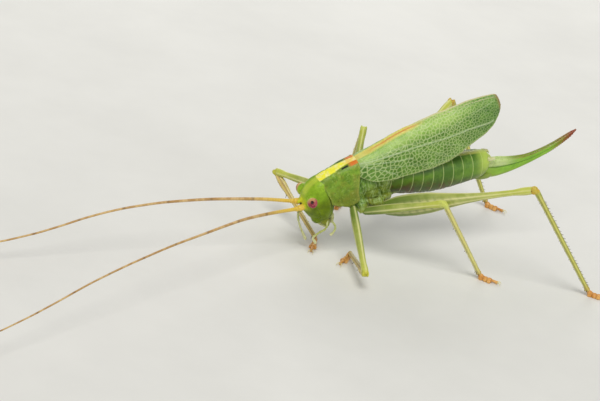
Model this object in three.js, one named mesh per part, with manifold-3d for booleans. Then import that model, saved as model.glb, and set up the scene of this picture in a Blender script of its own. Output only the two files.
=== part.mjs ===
// Female long-horned grasshopper of the oak bush-cricket kind, life size, standing on its six feet.
// Millimetres, +Z up, head toward -X, the insect's left side toward -Y, soles at Z = 0.
import * as THREE from 'three';
import Module from 'manifold-3d';
import { mergeVertices } from 'three/addons/utils/BufferGeometryUtils.js';

const wasm = await Module();
wasm.setup();

// Pose of the trunk
const TRUNK_HEIGHT = 7.66; // floor to the trunk's axis under the rear edge of the pronotum
const TRUNK_PITCH = 28.27; // degrees, tail up
const TRUNK_ROLL = 8.48; // degrees, left side down
const ABDOMEN_ROOT = -0.5; // where the abdomen bends away from the trunk's axis
const ABDOMEN_BEND = 26.74; // degrees, tail down from the trunk's axis
const WING_BEND = 2.7; // degrees, tail down from the trunk's axis

// Fineness of the faceted skins
const TRUNK_SIDES = 12;
const TAIL_SIDES = 8;
const FOOT_SIDES = 6;
const EVEN_OUT = 0.01; // slivers left by the cuts are smoothed out within this distance

// Fits between neighbouring parts
const CUT = 0.05; // width of the thin cuts
const TOE_CUT = 0.03; // cut between a shin and its foot

// Eye
const EYE_AT = { s: 4.56, w: 1.04, u: 0.14 };
const EYE_RADII = { s: 0.42, w: 0.46, u: 0.48 };
const EYE_FACETS = 10;

// Feelers
const SCAPE_LENGTH = 0.85;
const SCAPE_RADIUS = 0.29;
const FEELER_RADIUS = 0.26;
const FEELER_LENGTHS = 3; // each feeler is divided into this many lengths
const FEELER_RINGS = 7; // rings in each length
const FEELER_SIDES = 6;

// Legs
const ANKLE_HEIGHT = 0.45;
const PAD_DIP = 0.12; // how far the pads would reach below the floor before their soles are cut flat
const LEG_SIDES = 8;

const V = (x, y, z) => new THREE.Vector3(x, y, z);
const rad = THREE.MathUtils.degToRad;

// A frame rides on the body: s runs toward the head, w to the insect's left, u to its back.
class Frame {
  constructor(origin, s, w, u) {
    Object.assign(this, { origin, s, w, u });
  }

  at(s, w, u) {
    return this.origin.clone()
      .addScaledVector(this.s, s)
      .addScaledVector(this.w, w)
      .addScaledVector(this.u, u);
  }

  bent(degrees, root) {
    const c = Math.cos(rad(degrees));
    const k = Math.sin(rad(degrees));
    const s = this.s.clone().multiplyScalar(c).addScaledVector(this.u, k);
    const u = this.u.clone().multiplyScalar(c).addScaledVector(this.s, -k);
    return new Frame(this.at(root, 0, 0), s, this.w, u);
  }
}

function trunkFrame() {
  const pitch = rad(TRUNK_PITCH);
  const roll = rad(TRUNK_ROLL);
  const s = V(-Math.cos(pitch), 0, -Math.sin(pitch));
  const upright = V(-Math.sin(pitch), 0, Math.cos(pitch));
  const w = V(0, -Math.cos(roll), 0).addScaledVector(upright, -Math.sin(roll));
  const u = upright.multiplyScalar(Math.cos(roll)).add(V(0, -Math.sin(roll), 0));
  return new Frame(V(0, 0, TRUNK_HEIGHT), s, w, u);
}

const trunk = trunkFrame();
const rear = trunk.bent(ABDOMEN_BEND, ABDOMEN_ROOT);
const wings = trunk.bent(WING_BEND, 0);

// Skin through rings of points, with both ends closed by a fan.
function skinRings(rings) {
  const count = rings[0].length;
  const positions = [];
  rings.flat().forEach((p) => positions.push(p.x, p.y, p.z));
  const ends = [rings[0], rings[rings.length - 1]];
  ends.forEach((ring) => {
    const middle = ring.reduce((sum, p) => sum.add(p), V(0, 0, 0)).divideScalar(count);
    positions.push(middle.x, middle.y, middle.z);
  });
  const index = [];
  const firstFan = rings.length * count;
  const lastRing = (rings.length - 1) * count;
  for (let k = 0; k < count; k += 1) {
    const next = (k + 1) % count;
    for (let r = 0; r < rings.length - 1; r += 1) {
      const low = r * count;
      const high = low + count;
      index.push(low + k, low + next, high + next, low + k, high + next, high + k);
    }
    index.push(firstFan, next, k, firstFan + 1, lastRing + k, lastRing + next);
  }
  const geometry = new THREE.BufferGeometry();
  geometry.setAttribute('position', new THREE.Float32BufferAttribute(positions, 3));
  geometry.setIndex(index);
  return geometry;
}

function toSolid(geometry) {
  const bare = geometry.clone();
  bare.deleteAttribute('normal');
  bare.deleteAttribute('uv');
  const welded = mergeVertices(bare);
  const mesh = { numProp: 3, vertProperties: welded.attributes.position.array };
  const triVerts = new Uint32Array(welded.index.array);
  const solid = new wasm.Manifold(new wasm.Mesh({ ...mesh, triVerts }));
  if (solid.volume() > 0) {
    return solid;
  }
  const turned = triVerts.slice();
  for (let k = 0; k < turned.length; k += 3) {
    [turned[k + 1], turned[k + 2]] = [turned[k + 2], turned[k + 1]];
  }
  return new wasm.Manifold(new wasm.Mesh({ ...mesh, triVerts: turned }));
}

// Cross-section power above 2 squares the ring off, and below 2 pinches it.
function roundedPower(value, power) {
  return Math.sign(value) * Math.abs(value) ** (2 / power);
}

// Ring in the frame's w-u plane. Stations give s, half-width, height above and depth below c.
function crossRing(frame, station, count, grow) {
  const { s, c, half, over, under, power = 2, foot = power } = station;
  const ring = [];
  for (let k = 0; k < count; k += 1) {
    const angle = (2 * Math.PI * (k + 0.5)) / count;
    const upper = Math.sin(angle) > 0;
    const n = upper ? power : foot;
    const w = roundedPower(Math.cos(angle), n) * (half + grow);
    const u = c + roundedPower(Math.sin(angle), n) * ((upper ? over : under) + grow);
    ring.push(frame.at(s, w, u));
  }
  return ring;
}

function lengthwise(frame, stations, count, grow = 0) {
  const last = stations.length - 1;
  const rings = stations.map((station, k) => {
    const push = (k === 0 ? grow : 0) - (k === last ? grow : 0);
    return crossRing(frame, { ...station, s: station.s + push }, count, grow);
  });
  return toSolid(skinRings(rings));
}

// Straight limb between two points. Stations are [share of the length, half-width, half-depth].
function limb(from, to, stations, grow = 0, sides = LEG_SIDES) {
  const along = to.clone().sub(from).normalize();
  const side = V(0, 0, 1).cross(along).normalize();
  const deep = along.clone().cross(side);
  const last = stations.length - 1;
  const rings = stations.map(([t, half, depth], k) => {
    const push = (k === last ? grow : 0) - (k === 0 ? grow : 0);
    const middle = from.clone().lerp(to, t).addScaledVector(along, push);
    const ring = [];
    for (let j = 0; j < sides; j += 1) {
      const angle = (2 * Math.PI * (j + 0.5)) / sides;
      ring.push(middle.clone()
        .addScaledVector(side, Math.cos(angle) * (half + grow))
        .addScaledVector(deep, Math.sin(angle) * (depth + grow)));
    }
    return ring;
  });
  return toSolid(skinRings(rings));
}

// Round cord along a smooth path between two shares of its length.
function cord(path, start, end, radiusAt, rings, sides) {
  const list = [];
  for (let k = 0; k <= rings; k += 1) {
    const t = start + ((end - start) * k) / rings;
    const along = path.getTangentAt(t);
    const side = V(0, 0, 1).cross(along).normalize();
    const deep = along.clone().cross(side);
    const radius = radiusAt(t);
    const ring = [];
    for (let j = 0; j < sides; j += 1) {
      const angle = (2 * Math.PI * (j + 0.5)) / sides;
      ring.push(path.getPointAt(t)
        .addScaledVector(side, Math.cos(angle) * radius)
        .addScaledVector(deep, Math.sin(angle) * radius));
    }
    list.push(ring);
  }
  return toSolid(skinRings(list));
}

function carve(solid, ...cutters) {
  return cutters.reduce((left, cutter) => left.subtract(cutter), solid);
}

// Largest single body, in case a cut leaves a sliver behind.
function mainBody(solid) {
  const pieces = solid.decompose();
  return pieces.reduce((best, piece) => (piece.volume() > best.volume() ? piece : best));
}

const floorBlock = wasm.Manifold.cube([200, 200, 50], true).translate([0, 0, 25]);

const looks = {
  green: { color: 0x8fbf3f, roughness: 0.45 },
  pale: { color: 0xc9d98a, roughness: 0.5 },
  yellow: { color: 0xd8c850, roughness: 0.5 },
  wing: { color: 0xa9c872, roughness: 0.4 },
  amber: { color: 0xd09048, roughness: 0.5 },
  tan: { color: 0xc8a878, roughness: 0.55 },
  rose: { color: 0xb8506a, roughness: 0.25 },
  brown: { color: 0x8a5a38, roughness: 0.4 },
};

const insect = new THREE.Group();
insect.name = 'long_horned_grasshopper';

function addPart(name, solid, look) {
  const out = mainBody(solid).simplify(EVEN_OUT).getMesh();
  const geometry = new THREE.BufferGeometry();
  geometry.setAttribute('position', new THREE.BufferAttribute(out.vertProperties, out.numProp));
  geometry.setIndex(new THREE.BufferAttribute(out.triVerts, 1));
  geometry.computeVertexNormals();
  const material = new THREE.MeshStandardMaterial({ ...looks[look], metalness: 0 });
  const mesh = new THREE.Mesh(geometry, material);
  mesh.name = name;
  insect.add(mesh);
}

// ---- Head capsule: rings stacked from the chin to the crown, in the trunk's s-w plane.
// Each is [u, front s, rear s, half-width].
const HEAD_RINGS = [
  [-2.72, 4.2, 3.35, 0.62],
  [-2.55, 4.42, 3.1, 0.84],
  [-2.1, 4.74, 2.86, 1.02],
  [-1.6, 5.02, 2.7, 1.12],
  [-1.0, 5.22, 2.6, 1.16],
  [-0.55, 5.3, 2.55, 1.16],
  [-0.1, 5.2, 2.5, 1.14],
  [0.35, 4.94, 2.5, 1.1],
  [0.75, 4.62, 2.5, 1.0],
  [1.08, 4.16, 2.55, 0.8],
  [1.26, 3.74, 2.7, 0.5],
  [1.32, 3.4, 2.9, 0.2],
];
const HEAD_POWER = 2.3;
const HEAD_SIDES = 14;

function headCapsule() {
  const rings = HEAD_RINGS.map(([u, front, back, half]) => {
    const ring = [];
    for (let k = 0; k < HEAD_SIDES; k += 1) {
      const angle = (2 * Math.PI * (k + 0.5)) / HEAD_SIDES;
      const s = (front + back) / 2 + (roundedPower(Math.cos(angle), HEAD_POWER) * (front - back)) / 2;
      ring.push(trunk.at(s, roundedPower(Math.sin(angle), HEAD_POWER) * half, u));
    }
    return ring;
  });
  return toSolid(skinRings(rings));
}

// Fastigium: the short blunt horn of the crown between the feelers.
const fastigium = (grow) => limb(trunk.at(4.7, 0, 0.3), trunk.at(5.46, 0, -0.1), [
  [0, 0.34, 0.34],
  [0.6, 0.24, 0.26],
  [0.9, 0.17, 0.19],
  [1, 0.1, 0.11],
], grow);

function eyeball(side, grow) {
  const ball = new THREE.SphereGeometry(1, EYE_FACETS, EYE_FACETS * 0.8);
  const basis = new THREE.Matrix4().makeBasis(
    trunk.s.clone().multiplyScalar(EYE_RADII.s + grow),
    trunk.w.clone().multiplyScalar(EYE_RADII.w + grow),
    trunk.u.clone().multiplyScalar(EYE_RADII.u + grow),
  );
  basis.setPosition(trunk.at(EYE_AT.s, side * EYE_AT.w, EYE_AT.u));
  return toSolid(ball.applyMatrix4(basis));
}

// Feelers: the scape and pedicel, then the long whip, held well above the floor.
const SCAPE_ROOT = { s: 5.12, w: 0.42, u: -0.52 };
const SCAPE_TIP = {
  left: { s: 5.98, w: 0.46, u: -0.27 },
  right: { s: 5.86, w: -0.46, u: -0.1 },
};
const WHIP_PATH = {
  left: [
    [-5.25, -0.4, 4.6], [-7.85, -1.65, 4.78], [-11.8, -3.8, 5.1], [-16.1, -6.1, 5.0], [-18.6, -7.4, 4.9],
    [-22.0, -9.3, 4.7], [-26.5, -11.65, 4.1], [-30.4, -13.7, 3.3], [-32.8, -15.0, 2.9], [-36.6, -16.9, 2.4],
    [-40.2, -18.6, 2.2],
  ],
  right: [
    [-5.2, 0.42, 4.95], [-8.35, 0.25, 5.12], [-12.0, 0.05, 5.18], [-16.15, -0.2, 5.02], [-19.1, -0.4, 4.7],
    [-21.0, -0.5, 4.35], [-23.2, -0.65, 3.8], [-25.3, -0.75, 3.1], [-27.6, -0.9, 2.45], [-31.0, -1.1, 1.8],
    [-35.5, -1.2, 1.5], [-39.6, -1.1, 1.5],
  ],
};
const whip = (side) => new THREE.CatmullRomCurve3(WHIP_PATH[side].map((p) => V(...p)));

function scape(side, grow) {
  const sign = side === 'left' ? 1 : -1;
  const root = trunk.at(SCAPE_ROOT.s, sign * SCAPE_ROOT.w, SCAPE_ROOT.u);
  const tip = SCAPE_TIP[side];
  const to = trunk.at(tip.s, tip.w, tip.u);
  const along = to.clone().sub(root).setLength(SCAPE_LENGTH);
  return limb(root, root.clone().add(along), [
    [0, SCAPE_RADIUS * 0.7, SCAPE_RADIUS * 0.7],
    [0.15, SCAPE_RADIUS, SCAPE_RADIUS],
    [0.55, SCAPE_RADIUS, SCAPE_RADIUS],
    [0.7, FEELER_RADIUS, FEELER_RADIUS],
    [1, FEELER_RADIUS, FEELER_RADIUS],
  ], grow);
}

// Mouth: clypeus and labrum in front, a jaw each side, the labium behind.
const clypeus = (grow) => lengthDown([
  [-2.3, 4.75, 4.1, 0.5],
  [-2.75, 4.52, 3.95, 0.56],
  [-3.1, 4.28, 3.85, 0.5],
  [-3.5, 4.02, 3.75, 0.36],
  [-3.66, 3.9, 3.78, 0.2],
], 0, grow);
const jaw = (sign, grow) => lengthDown([
  [-2.4, 4.1, 3.3, 0.3],
  [-2.9, 4.0, 3.3, 0.3],
  [-3.3, 3.85, 3.35, 0.26],
  [-3.58, 3.7, 3.45, 0.14],
], sign * 0.46, grow);
const labium = (grow) => lengthDown([
  [-2.2, 3.2, 2.86, 0.5],
  [-2.8, 3.2, 2.8, 0.62],
  [-3.3, 3.25, 2.9, 0.5],
  [-3.62, 3.3, 3.02, 0.3],
], 0, grow);

// Small tapering block hung downward from the head. Rings are [u, front s, rear s, half-width].
function lengthDown(rings, middle, grow) {
  const last = rings.length - 1;
  const skin = rings.map(([u, front, back, half], r) => {
    const ring = [];
    const push = (r === 0 ? grow : 0) - (r === last ? grow : 0);
    for (let k = 0; k < LEG_SIDES; k += 1) {
      const angle = (2 * Math.PI * (k + 0.5)) / LEG_SIDES;
      const s = (front + back) / 2 + roundedPower(Math.cos(angle), HEAD_POWER) * ((front - back) / 2 + grow);
      const w = middle + roundedPower(Math.sin(angle), HEAD_POWER) * (half + grow);
      ring.push(trunk.at(s, w, u + push));
    }
    return ring;
  });
  return toSolid(skinRings(skin));
}

// Palps: bent little feelers of the mouth, thickest at the last joint.
const PALP_RINGS = 8;
const PALP_RADIUS = 0.16;
const PALP_PATHS = {
  palp_maxillary_left: [
    [3.3, 0.82, -2.95], [3.9, 0.98, -3.32], [4.6, 0.84, -3.5], [5.14, 0.7, -3.82], [5.0, 0.7, -4.6],
  ],
  palp_maxillary_right: [
    [3.3, -0.82, -2.95], [4.3, -1.12, -2.4], [5.4, -0.72, -1.84], [5.58, -0.64, -2.8], [5.38, -0.6, -5.0],
  ],
  palp_labial_left: [[2.98, 0.42, -3.72], [2.9, 0.6, -3.98], [3.25, 0.66, -4.34], [3.62, 0.6, -4.52]],
  palp_labial_right: [[2.98, -0.42, -3.72], [2.9, -0.6, -3.98], [3.25, -0.66, -4.34], [3.62, -0.6, -4.52]],
};

function palp(name) {
  const path = new THREE.CatmullRomCurve3(PALP_PATHS[name].map((p) => trunk.at(...p)), false, 'centripetal');
  const thickness = (t) => PALP_RADIUS * (0.8 + 0.4 * t);
  return cord(path, 0, 1, thickness, PALP_RINGS, FEELER_SIDES);
}

// ---- Pronotum: saddle over the front of the thorax, with a lobe down each side.
const PRONOTUM_STATIONS = [
  { s: 3.34, c: -0.2, half: 1.06, over: 1.44, under: 0.25 },
  { s: 3.2, c: -0.2, half: 1.14, over: 1.5, under: 0.5 },
  { s: 2.7, c: -0.2, half: 1.2, over: 1.6, under: 0.95 },
  { s: 2.1, c: -0.2, half: 1.24, over: 1.66, under: 1.35 },
  { s: 1.5, c: -0.2, half: 1.27, over: 1.72, under: 1.55 },
  { s: 0.9, c: -0.2, half: 1.3, over: 1.78, under: 1.4 },
  { s: 0.4, c: -0.1, half: 1.32, over: 1.72, under: 1.0 },
  { s: 0.0, c: 0.1, half: 1.3, over: 1.54, under: 0.55 },
  { s: -0.16, c: 0.3, half: 1.16, over: 1.3, under: 0.25 },
];
const PRONOTUM_POWERS = { power: 2.3, foot: 3.2 };
const pronotum = (grow) => lengthwise(
  trunk,
  PRONOTUM_STATIONS.map((station) => ({ ...station, ...PRONOTUM_POWERS })),
  TRUNK_SIDES,
  grow,
);

// ---- Thorax: wing-bearing middle of the body, from the neck to the waist.
const THORAX_STATIONS = [
  { s: 2.95, c: -0.55, half: 0.6, over: 0.8, under: 0.8 },
  { s: 2.6, c: -0.55, half: 0.8, over: 1.0, under: 1.05 },
  { s: 1.9, c: -0.6, half: 0.95, over: 1.2, under: 1.35 },
  { s: 1.1, c: -0.7, half: 1.08, over: 1.4, under: 1.75 },
  { s: 0.3, c: -0.8, half: 1.2, over: 1.65, under: 2.15 },
  { s: -0.6, c: -0.95, half: 1.28, over: 1.85, under: 2.4 },
  { s: -1.5, c: -1.1, half: 1.3, over: 1.85, under: 2.45 },
  { s: -2.4, c: -1.3, half: 1.28, over: 1.75, under: 2.35 },
  { s: -3.2, c: -1.5, half: 1.15, over: 1.6, under: 1.9 },
  { s: -3.6, c: -1.6, half: 0.9, over: 1.2, under: 1.4 },
];
const thorax = (grow) => lengthwise(trunk, THORAX_STATIONS, TRUNK_SIDES, grow);

// ---- Abdomen: plump tube of ten rings, slightly deeper than wide.
const ABDOMEN_STATIONS = [
  { s: -2.1, c: -0.62, half: 1.0, over: 1.15, under: 1.15 },
  { s: -2.4, c: -0.62, half: 1.22, over: 1.4, under: 1.4 },
  { s: -3.4, c: -0.6, half: 1.36, over: 1.56, under: 1.56 },
  { s: -4.8, c: -0.58, half: 1.44, over: 1.64, under: 1.64 },
  { s: -6.4, c: -0.54, half: 1.46, over: 1.66, under: 1.66 },
  { s: -7.9, c: -0.42, half: 1.42, over: 1.6, under: 1.56 },
  { s: -9.3, c: -0.22, half: 1.34, over: 1.5, under: 1.42 },
  { s: -10.4, c: -0.06, half: 1.22, over: 1.34, under: 1.26 },
  { s: -11.2, c: -0.02, half: 1.06, over: 1.2, under: 1.12 },
  { s: -11.78, c: 0.06, half: 0.86, over: 1.0, under: 0.96 },
  { s: -12.12, c: 0.2, half: 0.55, over: 0.62, under: 0.7 },
];
const abdomen = (grow) => lengthwise(rear, ABDOMEN_STATIONS, TRUNK_SIDES, grow);

// Ovipositor: sabre of valves, deep at its root and curved up to a sharp tip.
const OVIPOSITOR_STATIONS = [
  { s: -11.7, c: -0.34, half: 0.34, over: 0.76, under: 0.86 },
  { s: -12.5, c: -0.3, half: 0.42, over: 0.96, under: 0.94 },
  { s: -13.2, c: -0.28, half: 0.42, over: 0.96, under: 0.9 },
  { s: -14.2, c: -0.16, half: 0.38, over: 0.82, under: 0.8 },
  { s: -15.2, c: 0.06, half: 0.34, over: 0.66, under: 0.66 },
  { s: -16.2, c: 0.4, half: 0.31, over: 0.5, under: 0.54 },
  { s: -17.2, c: 0.86, half: 0.29, over: 0.45, under: 0.46 },
  { s: -18.2, c: 1.42, half: 0.27, over: 0.42, under: 0.42 },
  { s: -19.1, c: 2.08, half: 0.25, over: 0.38, under: 0.4 },
  { s: -19.8, c: 2.68, half: 0.2, over: 0.26, under: 0.36 },
  { s: -20.3, c: 3.15, half: 0.1, over: 0.09, under: 0.16 },
];
const ovipositor = (grow) => lengthwise(rear, OVIPOSITOR_STATIONS, TAIL_SIDES, grow);

const subgenitalPlate = (grow) => lengthwise(rear, [
  { s: -11.1, c: -0.9, half: 0.6, over: 0.3, under: 0.42 },
  { s: -11.7, c: -0.92, half: 0.66, over: 0.3, under: 0.46 },
  { s: -12.4, c: -0.9, half: 0.58, over: 0.26, under: 0.44 },
  { s: -13.0, c: -0.86, half: 0.3, over: 0.16, under: 0.28 },
], TAIL_SIDES, grow);

// Cerci: a short pointed feeler on each side of the tail end.
const cercus = (sign, grow) => limb(rear.at(-11.62, sign * 0.52, 0.7), rear.at(-12.95, sign * 0.72, 0.98), [
  [0, 0.16, 0.16],
  [0.3, 0.22, 0.22],
  [0.7, 0.17, 0.17],
  [1, 0.07, 0.07],
], grow);

// ---- Forewings: a stiff roof over the back. Each row is [s, ridge w, ridge u, edge w, edge u].
const FOREWING_ROWS = [
  [-0.34, 0.06, 1.5, 1.4, 0.05],
  [-1.1, 0.04, 1.72, 1.48, -0.45],
  [-2.1, 0.03, 1.96, 1.5, -0.82],
  [-3.2, 0.03, 2.2, 1.48, -1.12],
  [-4.3, 0.03, 2.36, 1.44, -1.36],
  [-5.4, 0.03, 2.38, 1.4, -1.54],
  [-6.5, 0.03, 2.38, 1.34, -1.72],
  [-7.6, 0.03, 2.36, 1.26, -1.76],
  [-8.7, 0.03, 2.32, 1.16, -1.56],
  [-9.7, 0.03, 2.3, 1.06, -1.16],
  [-10.7, 0.03, 2.26, 0.96, -0.84],
  [-11.6, 0.03, 2.16, 0.84, -0.46],
  [-12.3, 0.03, 2.04, 0.72, -0.02],
  [-12.85, 0.03, 1.9, 0.56, 0.5],
  [-13.16, 0.03, 1.78, 0.42, 0.94],
  [-13.36, 0.04, 1.6, 0.24, 1.2],
];
const FOREWING_THICK = 0.5;
const FOREWING_STEPS = 6;

// Point on the outer face of a forewing, from the ridge (v = 0) round the shoulder to the edge.
function wingPoint([, ridgeW, ridgeU, edgeW, edgeU], v) {
  const fall = ridgeU - edgeU;
  const ridge = new THREE.Vector2(ridgeW, ridgeU);
  const shoulder = new THREE.Vector2(edgeW * 0.62, ridgeU + 0.02);
  const flank = new THREE.Vector2(edgeW * 0.98, edgeU + fall * 0.62);
  const edge = new THREE.Vector2(edgeW, edgeU);
  return new THREE.CubicBezierCurve(ridge, shoulder, flank, edge).getPoint(v);
}

function forewing(sign, grow) {
  const rings = FOREWING_ROWS.map((row, r) => {
    const outer = [];
    const inner = [];
    const push = (r === 0 ? grow : 0) - (r === FOREWING_ROWS.length - 1 ? grow : 0);
    for (let k = 0; k <= FOREWING_STEPS; k += 1) {
      const v = k / FOREWING_STEPS;
      const here = wingPoint(row, v);
      const ahead = wingPoint(row, Math.min(v + 0.02, 1));
      const behind = wingPoint(row, Math.max(v - 0.02, 0));
      const run = ahead.sub(behind).normalize();
      const turn = k === 0 ? new THREE.Vector2(0, -1) : new THREE.Vector2(run.y, -run.x);
      const deep = turn.multiplyScalar(FOREWING_THICK + grow);
      outer.push(wings.at(row[0] + push, sign * here.x, here.y));
      const low = here.clone().add(deep);
      inner.push(wings.at(row[0] + push, sign * Math.max(low.x, 0.03), low.y));
    }
    return outer.concat(inner.reverse());
  });
  return toSolid(skinRings(rings));
}

// Hindwings: folded fans packed together between the forewings.
const hindwings = lengthwise(wings, [
  { s: -2.2, c: 0.9, half: 0.24, over: 0.3, under: 0.4 },
  { s: -3.4, c: 0.7, half: 0.36, over: 0.7, under: 0.86 },
  { s: -6.0, c: 0.3, half: 0.4, over: 1.2, under: 1.3 },
  { s: -8.6, c: 0.36, half: 0.34, over: 1.1, under: 1.2 },
  { s: -10.2, c: 0.5, half: 0.26, over: 0.84, under: 1.0 },
  { s: -11.2, c: 0.7, half: 0.16, over: 0.3, under: 0.6 },
], TAIL_SIDES);

// ---- Legs. Hips ride on the trunk; knees, ankles and toes are given where they stand.
const LEGS = {
  front_left: {
    hip: [1.28, 1.04, -2.2], coxa: [1.3, 0.5, -1.7], knee: [-0.82, -6.57, 1.77],
    ankle: [1.02, -0.29], toe: [-0.54, -1.75],
  },
  front_right: {
    hip: [1.57, -1.02, -2.17], coxa: [1.45, -0.5, -1.7], knee: [-3.49, 7.19, 4.3],
    ankle: [-0.97, 2.36], toe: [-2.14, 0.58],
  },
  mid_left: {
    hip: [0.6, 1.22, -3.06], coxa: [0.45, 0.6, -2.3], knee: [5.9, -4.84, 7.38],
    ankle: [11.49, -4.1], toe: [12.8, -5.25],
  },
  mid_right: {
    hip: [0.49, -1.16, -3.06], coxa: [0.4, -0.6, -2.3], knee: [3.52, 6.55, 8.82],
    ankle: [3.87, 8.54], toe: [4.9, 9.94],
  },
  hind_left: {
    hip: [-0.9, 1.34, -3.5], coxa: [-0.95, 0.75, -2.7], knee: [12.27, -7.7, 10.1],
    ankle: [20.47, -7.23], toe: [21.97, -8.22],
  },
  hind_right: {
    hip: [-0.83, -1.39, -3.49], coxa: [-0.9, -0.75, -2.7], knee: [12.31, 8.0, 10.88],
    ankle: [19.34, 9.46], toe: [20.55, 8.13],
  },
};

// Thigh shapes: [share of the length, half-width, half-depth].
const WALKING_THIGH = [
  [0, 0.2, 0.22],
  [0.03, 0.3, 0.32],
  [0.1, 0.3, 0.34],
  [0.3, 0.32, 0.38],
  [0.6, 0.29, 0.33],
  [0.85, 0.27, 0.29],
  [0.97, 0.3, 0.32],
  [1, 0.2, 0.22],
];
const LEAPING_THIGH = [
  [0, 0.24, 0.3],
  [0.02, 0.36, 0.5],
  [0.07, 0.46, 0.7],
  [0.13, 0.52, 0.84],
  [0.21, 0.54, 0.9],
  [0.31, 0.5, 0.86],
  [0.4, 0.42, 0.7],
  [0.5, 0.34, 0.52],
  [0.6, 0.29, 0.38],
  [0.7, 0.27, 0.31],
  [0.85, 0.26, 0.28],
  [0.96, 0.3, 0.32],
  [1, 0.2, 0.22],
];
const THIGH = { front: WALKING_THIGH, mid: WALKING_THIGH, hind: LEAPING_THIGH };

// Fore shins are swollen near the knee, where the ears are.
const SHIN = {
  front: [[0, 0.16, 0.16], [0.03, 0.25, 0.25], [0.12, 0.27, 0.3], [0.24, 0.27, 0.3], [0.38, 0.25, 0.25],
    [0.96, 0.25, 0.25], [1, 0.2, 0.2]],
  mid: [[0, 0.16, 0.16], [0.03, 0.25, 0.25], [0.5, 0.25, 0.25], [0.97, 0.25, 0.25], [1, 0.2, 0.2]],
  hind: [[0, 0.16, 0.16], [0.02, 0.27, 0.28], [0.1, 0.25, 0.26], [0.5, 0.25, 0.25], [0.98, 0.26, 0.26],
    [1, 0.2, 0.2]],
};

// Foot: three short lobed joints and a slim clawed one. Half-width and half-depth along it.
const FOOT = [
  [0, 0.2, 0.3],
  [0.06, 0.26, 0.42],
  [0.2, 0.26, 0.4],
  [0.24, 0.25, 0.34],
  [0.28, 0.28, 0.4],
  [0.4, 0.3, 0.38],
  [0.44, 0.25, 0.3],
  [0.48, 0.32, 0.38],
  [0.6, 0.34, 0.38],
  [0.66, 0.25, 0.28],
  [0.85, 0.25, 0.26],
  [0.94, 0.28, 0.26],
  [1, 0.16, 0.16],
];

function buildLeg(name, body) {
  const kind = name.split('_')[0];
  const { hip, coxa, knee, ankle, toe } = LEGS[name];
  const hipAt = trunk.at(...hip);
  const kneeAt = V(...knee);
  const ankleAt = V(ankle[0], ankle[1], ANKLE_HEIGHT);
  const soleHeight = 0.4 - PAD_DIP;
  const heelAt = V(ankle[0], ankle[1], soleHeight);
  const toeAt = V(toe[0], toe[1], soleHeight);
  const drop = hipAt.clone().sub(trunk.at(...coxa)).setLength(0.12);
  const coxaSize = kind === 'hind' ? 0.5 : 0.42;
  const coxaSolid = (grow) => limb(trunk.at(...coxa), hipAt.clone().add(drop), [
    [0, coxaSize, coxaSize],
    [0.5, coxaSize, coxaSize],
    [0.85, coxaSize * 0.8, coxaSize * 0.8],
    [1, coxaSize * 0.45, coxaSize * 0.45],
  ], grow);
  const thigh = (grow) => limb(hipAt, kneeAt, THIGH[kind], grow);
  const shin = (grow) => limb(kneeAt, ankleAt, SHIN[kind], grow, kind === 'front' ? 8 : 7);
  const foot = limb(heelAt, toeAt, FOOT, 0, FOOT_SIDES);
  const look = kind === 'mid' ? 'green' : 'pale';
  addPart(`coxa_${name}`, carve(coxaSolid(0), ...body, thigh(CUT)), 'green');
  addPart(`femur_${name}`, carve(thigh(0), ...body, shin(CUT)), look);
  addPart(`tibia_${name}`, shin(0).intersect(floorBlock), look);
  addPart(`tarsus_${name}`, carve(foot, shin(TOE_CUT)).intersect(floorBlock), 'amber');
}

// ---- Put together, from the pieces that keep their whole shape to the ones cut round them.
const SIDES = [['left', 1], ['right', -1]];
const mouthGrown = [clypeus(CUT), labium(CUT), jaw(1, CUT), jaw(-1, CUT)];
const headCutters = [pronotum(CUT), thorax(CUT), ...mouthGrown];
SIDES.forEach(([side, sign]) => {
  addPart(`eye_${side}`, eyeball(sign, 0), 'rose');
  addPart(`scape_${side}`, scape(side, 0), 'yellow');
  headCutters.push(eyeball(sign, CUT), scape(side, CUT));
});
addPart('head', carve(headCapsule().add(fastigium(0)), ...headCutters), 'green');
addPart('clypeus_labrum', clypeus(0), 'yellow');
addPart('labium', labium(0), 'pale');

SIDES.forEach(([side, sign]) => {
  addPart(`mandible_${side}`, carve(jaw(sign, 0), clypeus(CUT), labium(CUT)), 'pale');
  const path = whip(side);
  const share = path.getLength();
  const gap = CUT / share;
  const taper = (t) => FEELER_RADIUS - 0.01 * t;
  const scapeReach = (SCAPE_LENGTH + 0.1) / share;
  for (let k = 0; k < FEELER_LENGTHS; k += 1) {
    const start = k === 0 ? 0 : k / FEELER_LENGTHS + gap;
    const end = k === FEELER_LENGTHS - 1 ? 1 : (k + 1) / FEELER_LENGTHS;
    const from = k === 0 ? scapeReach * 0.3 : start;
    const length = cord(path, from, end, taper, FEELER_RINGS, FEELER_SIDES);
    addPart(`antenna_${side}_${k + 1}`, k === 0 ? carve(length, scape(side, CUT)) : length, 'tan');
  }
});

const mouth = [...mouthGrown, headCapsule()];
Object.keys(PALP_PATHS).forEach((name) => {
  addPart(name, carve(palp(name), ...mouth), 'pale');
});

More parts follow.
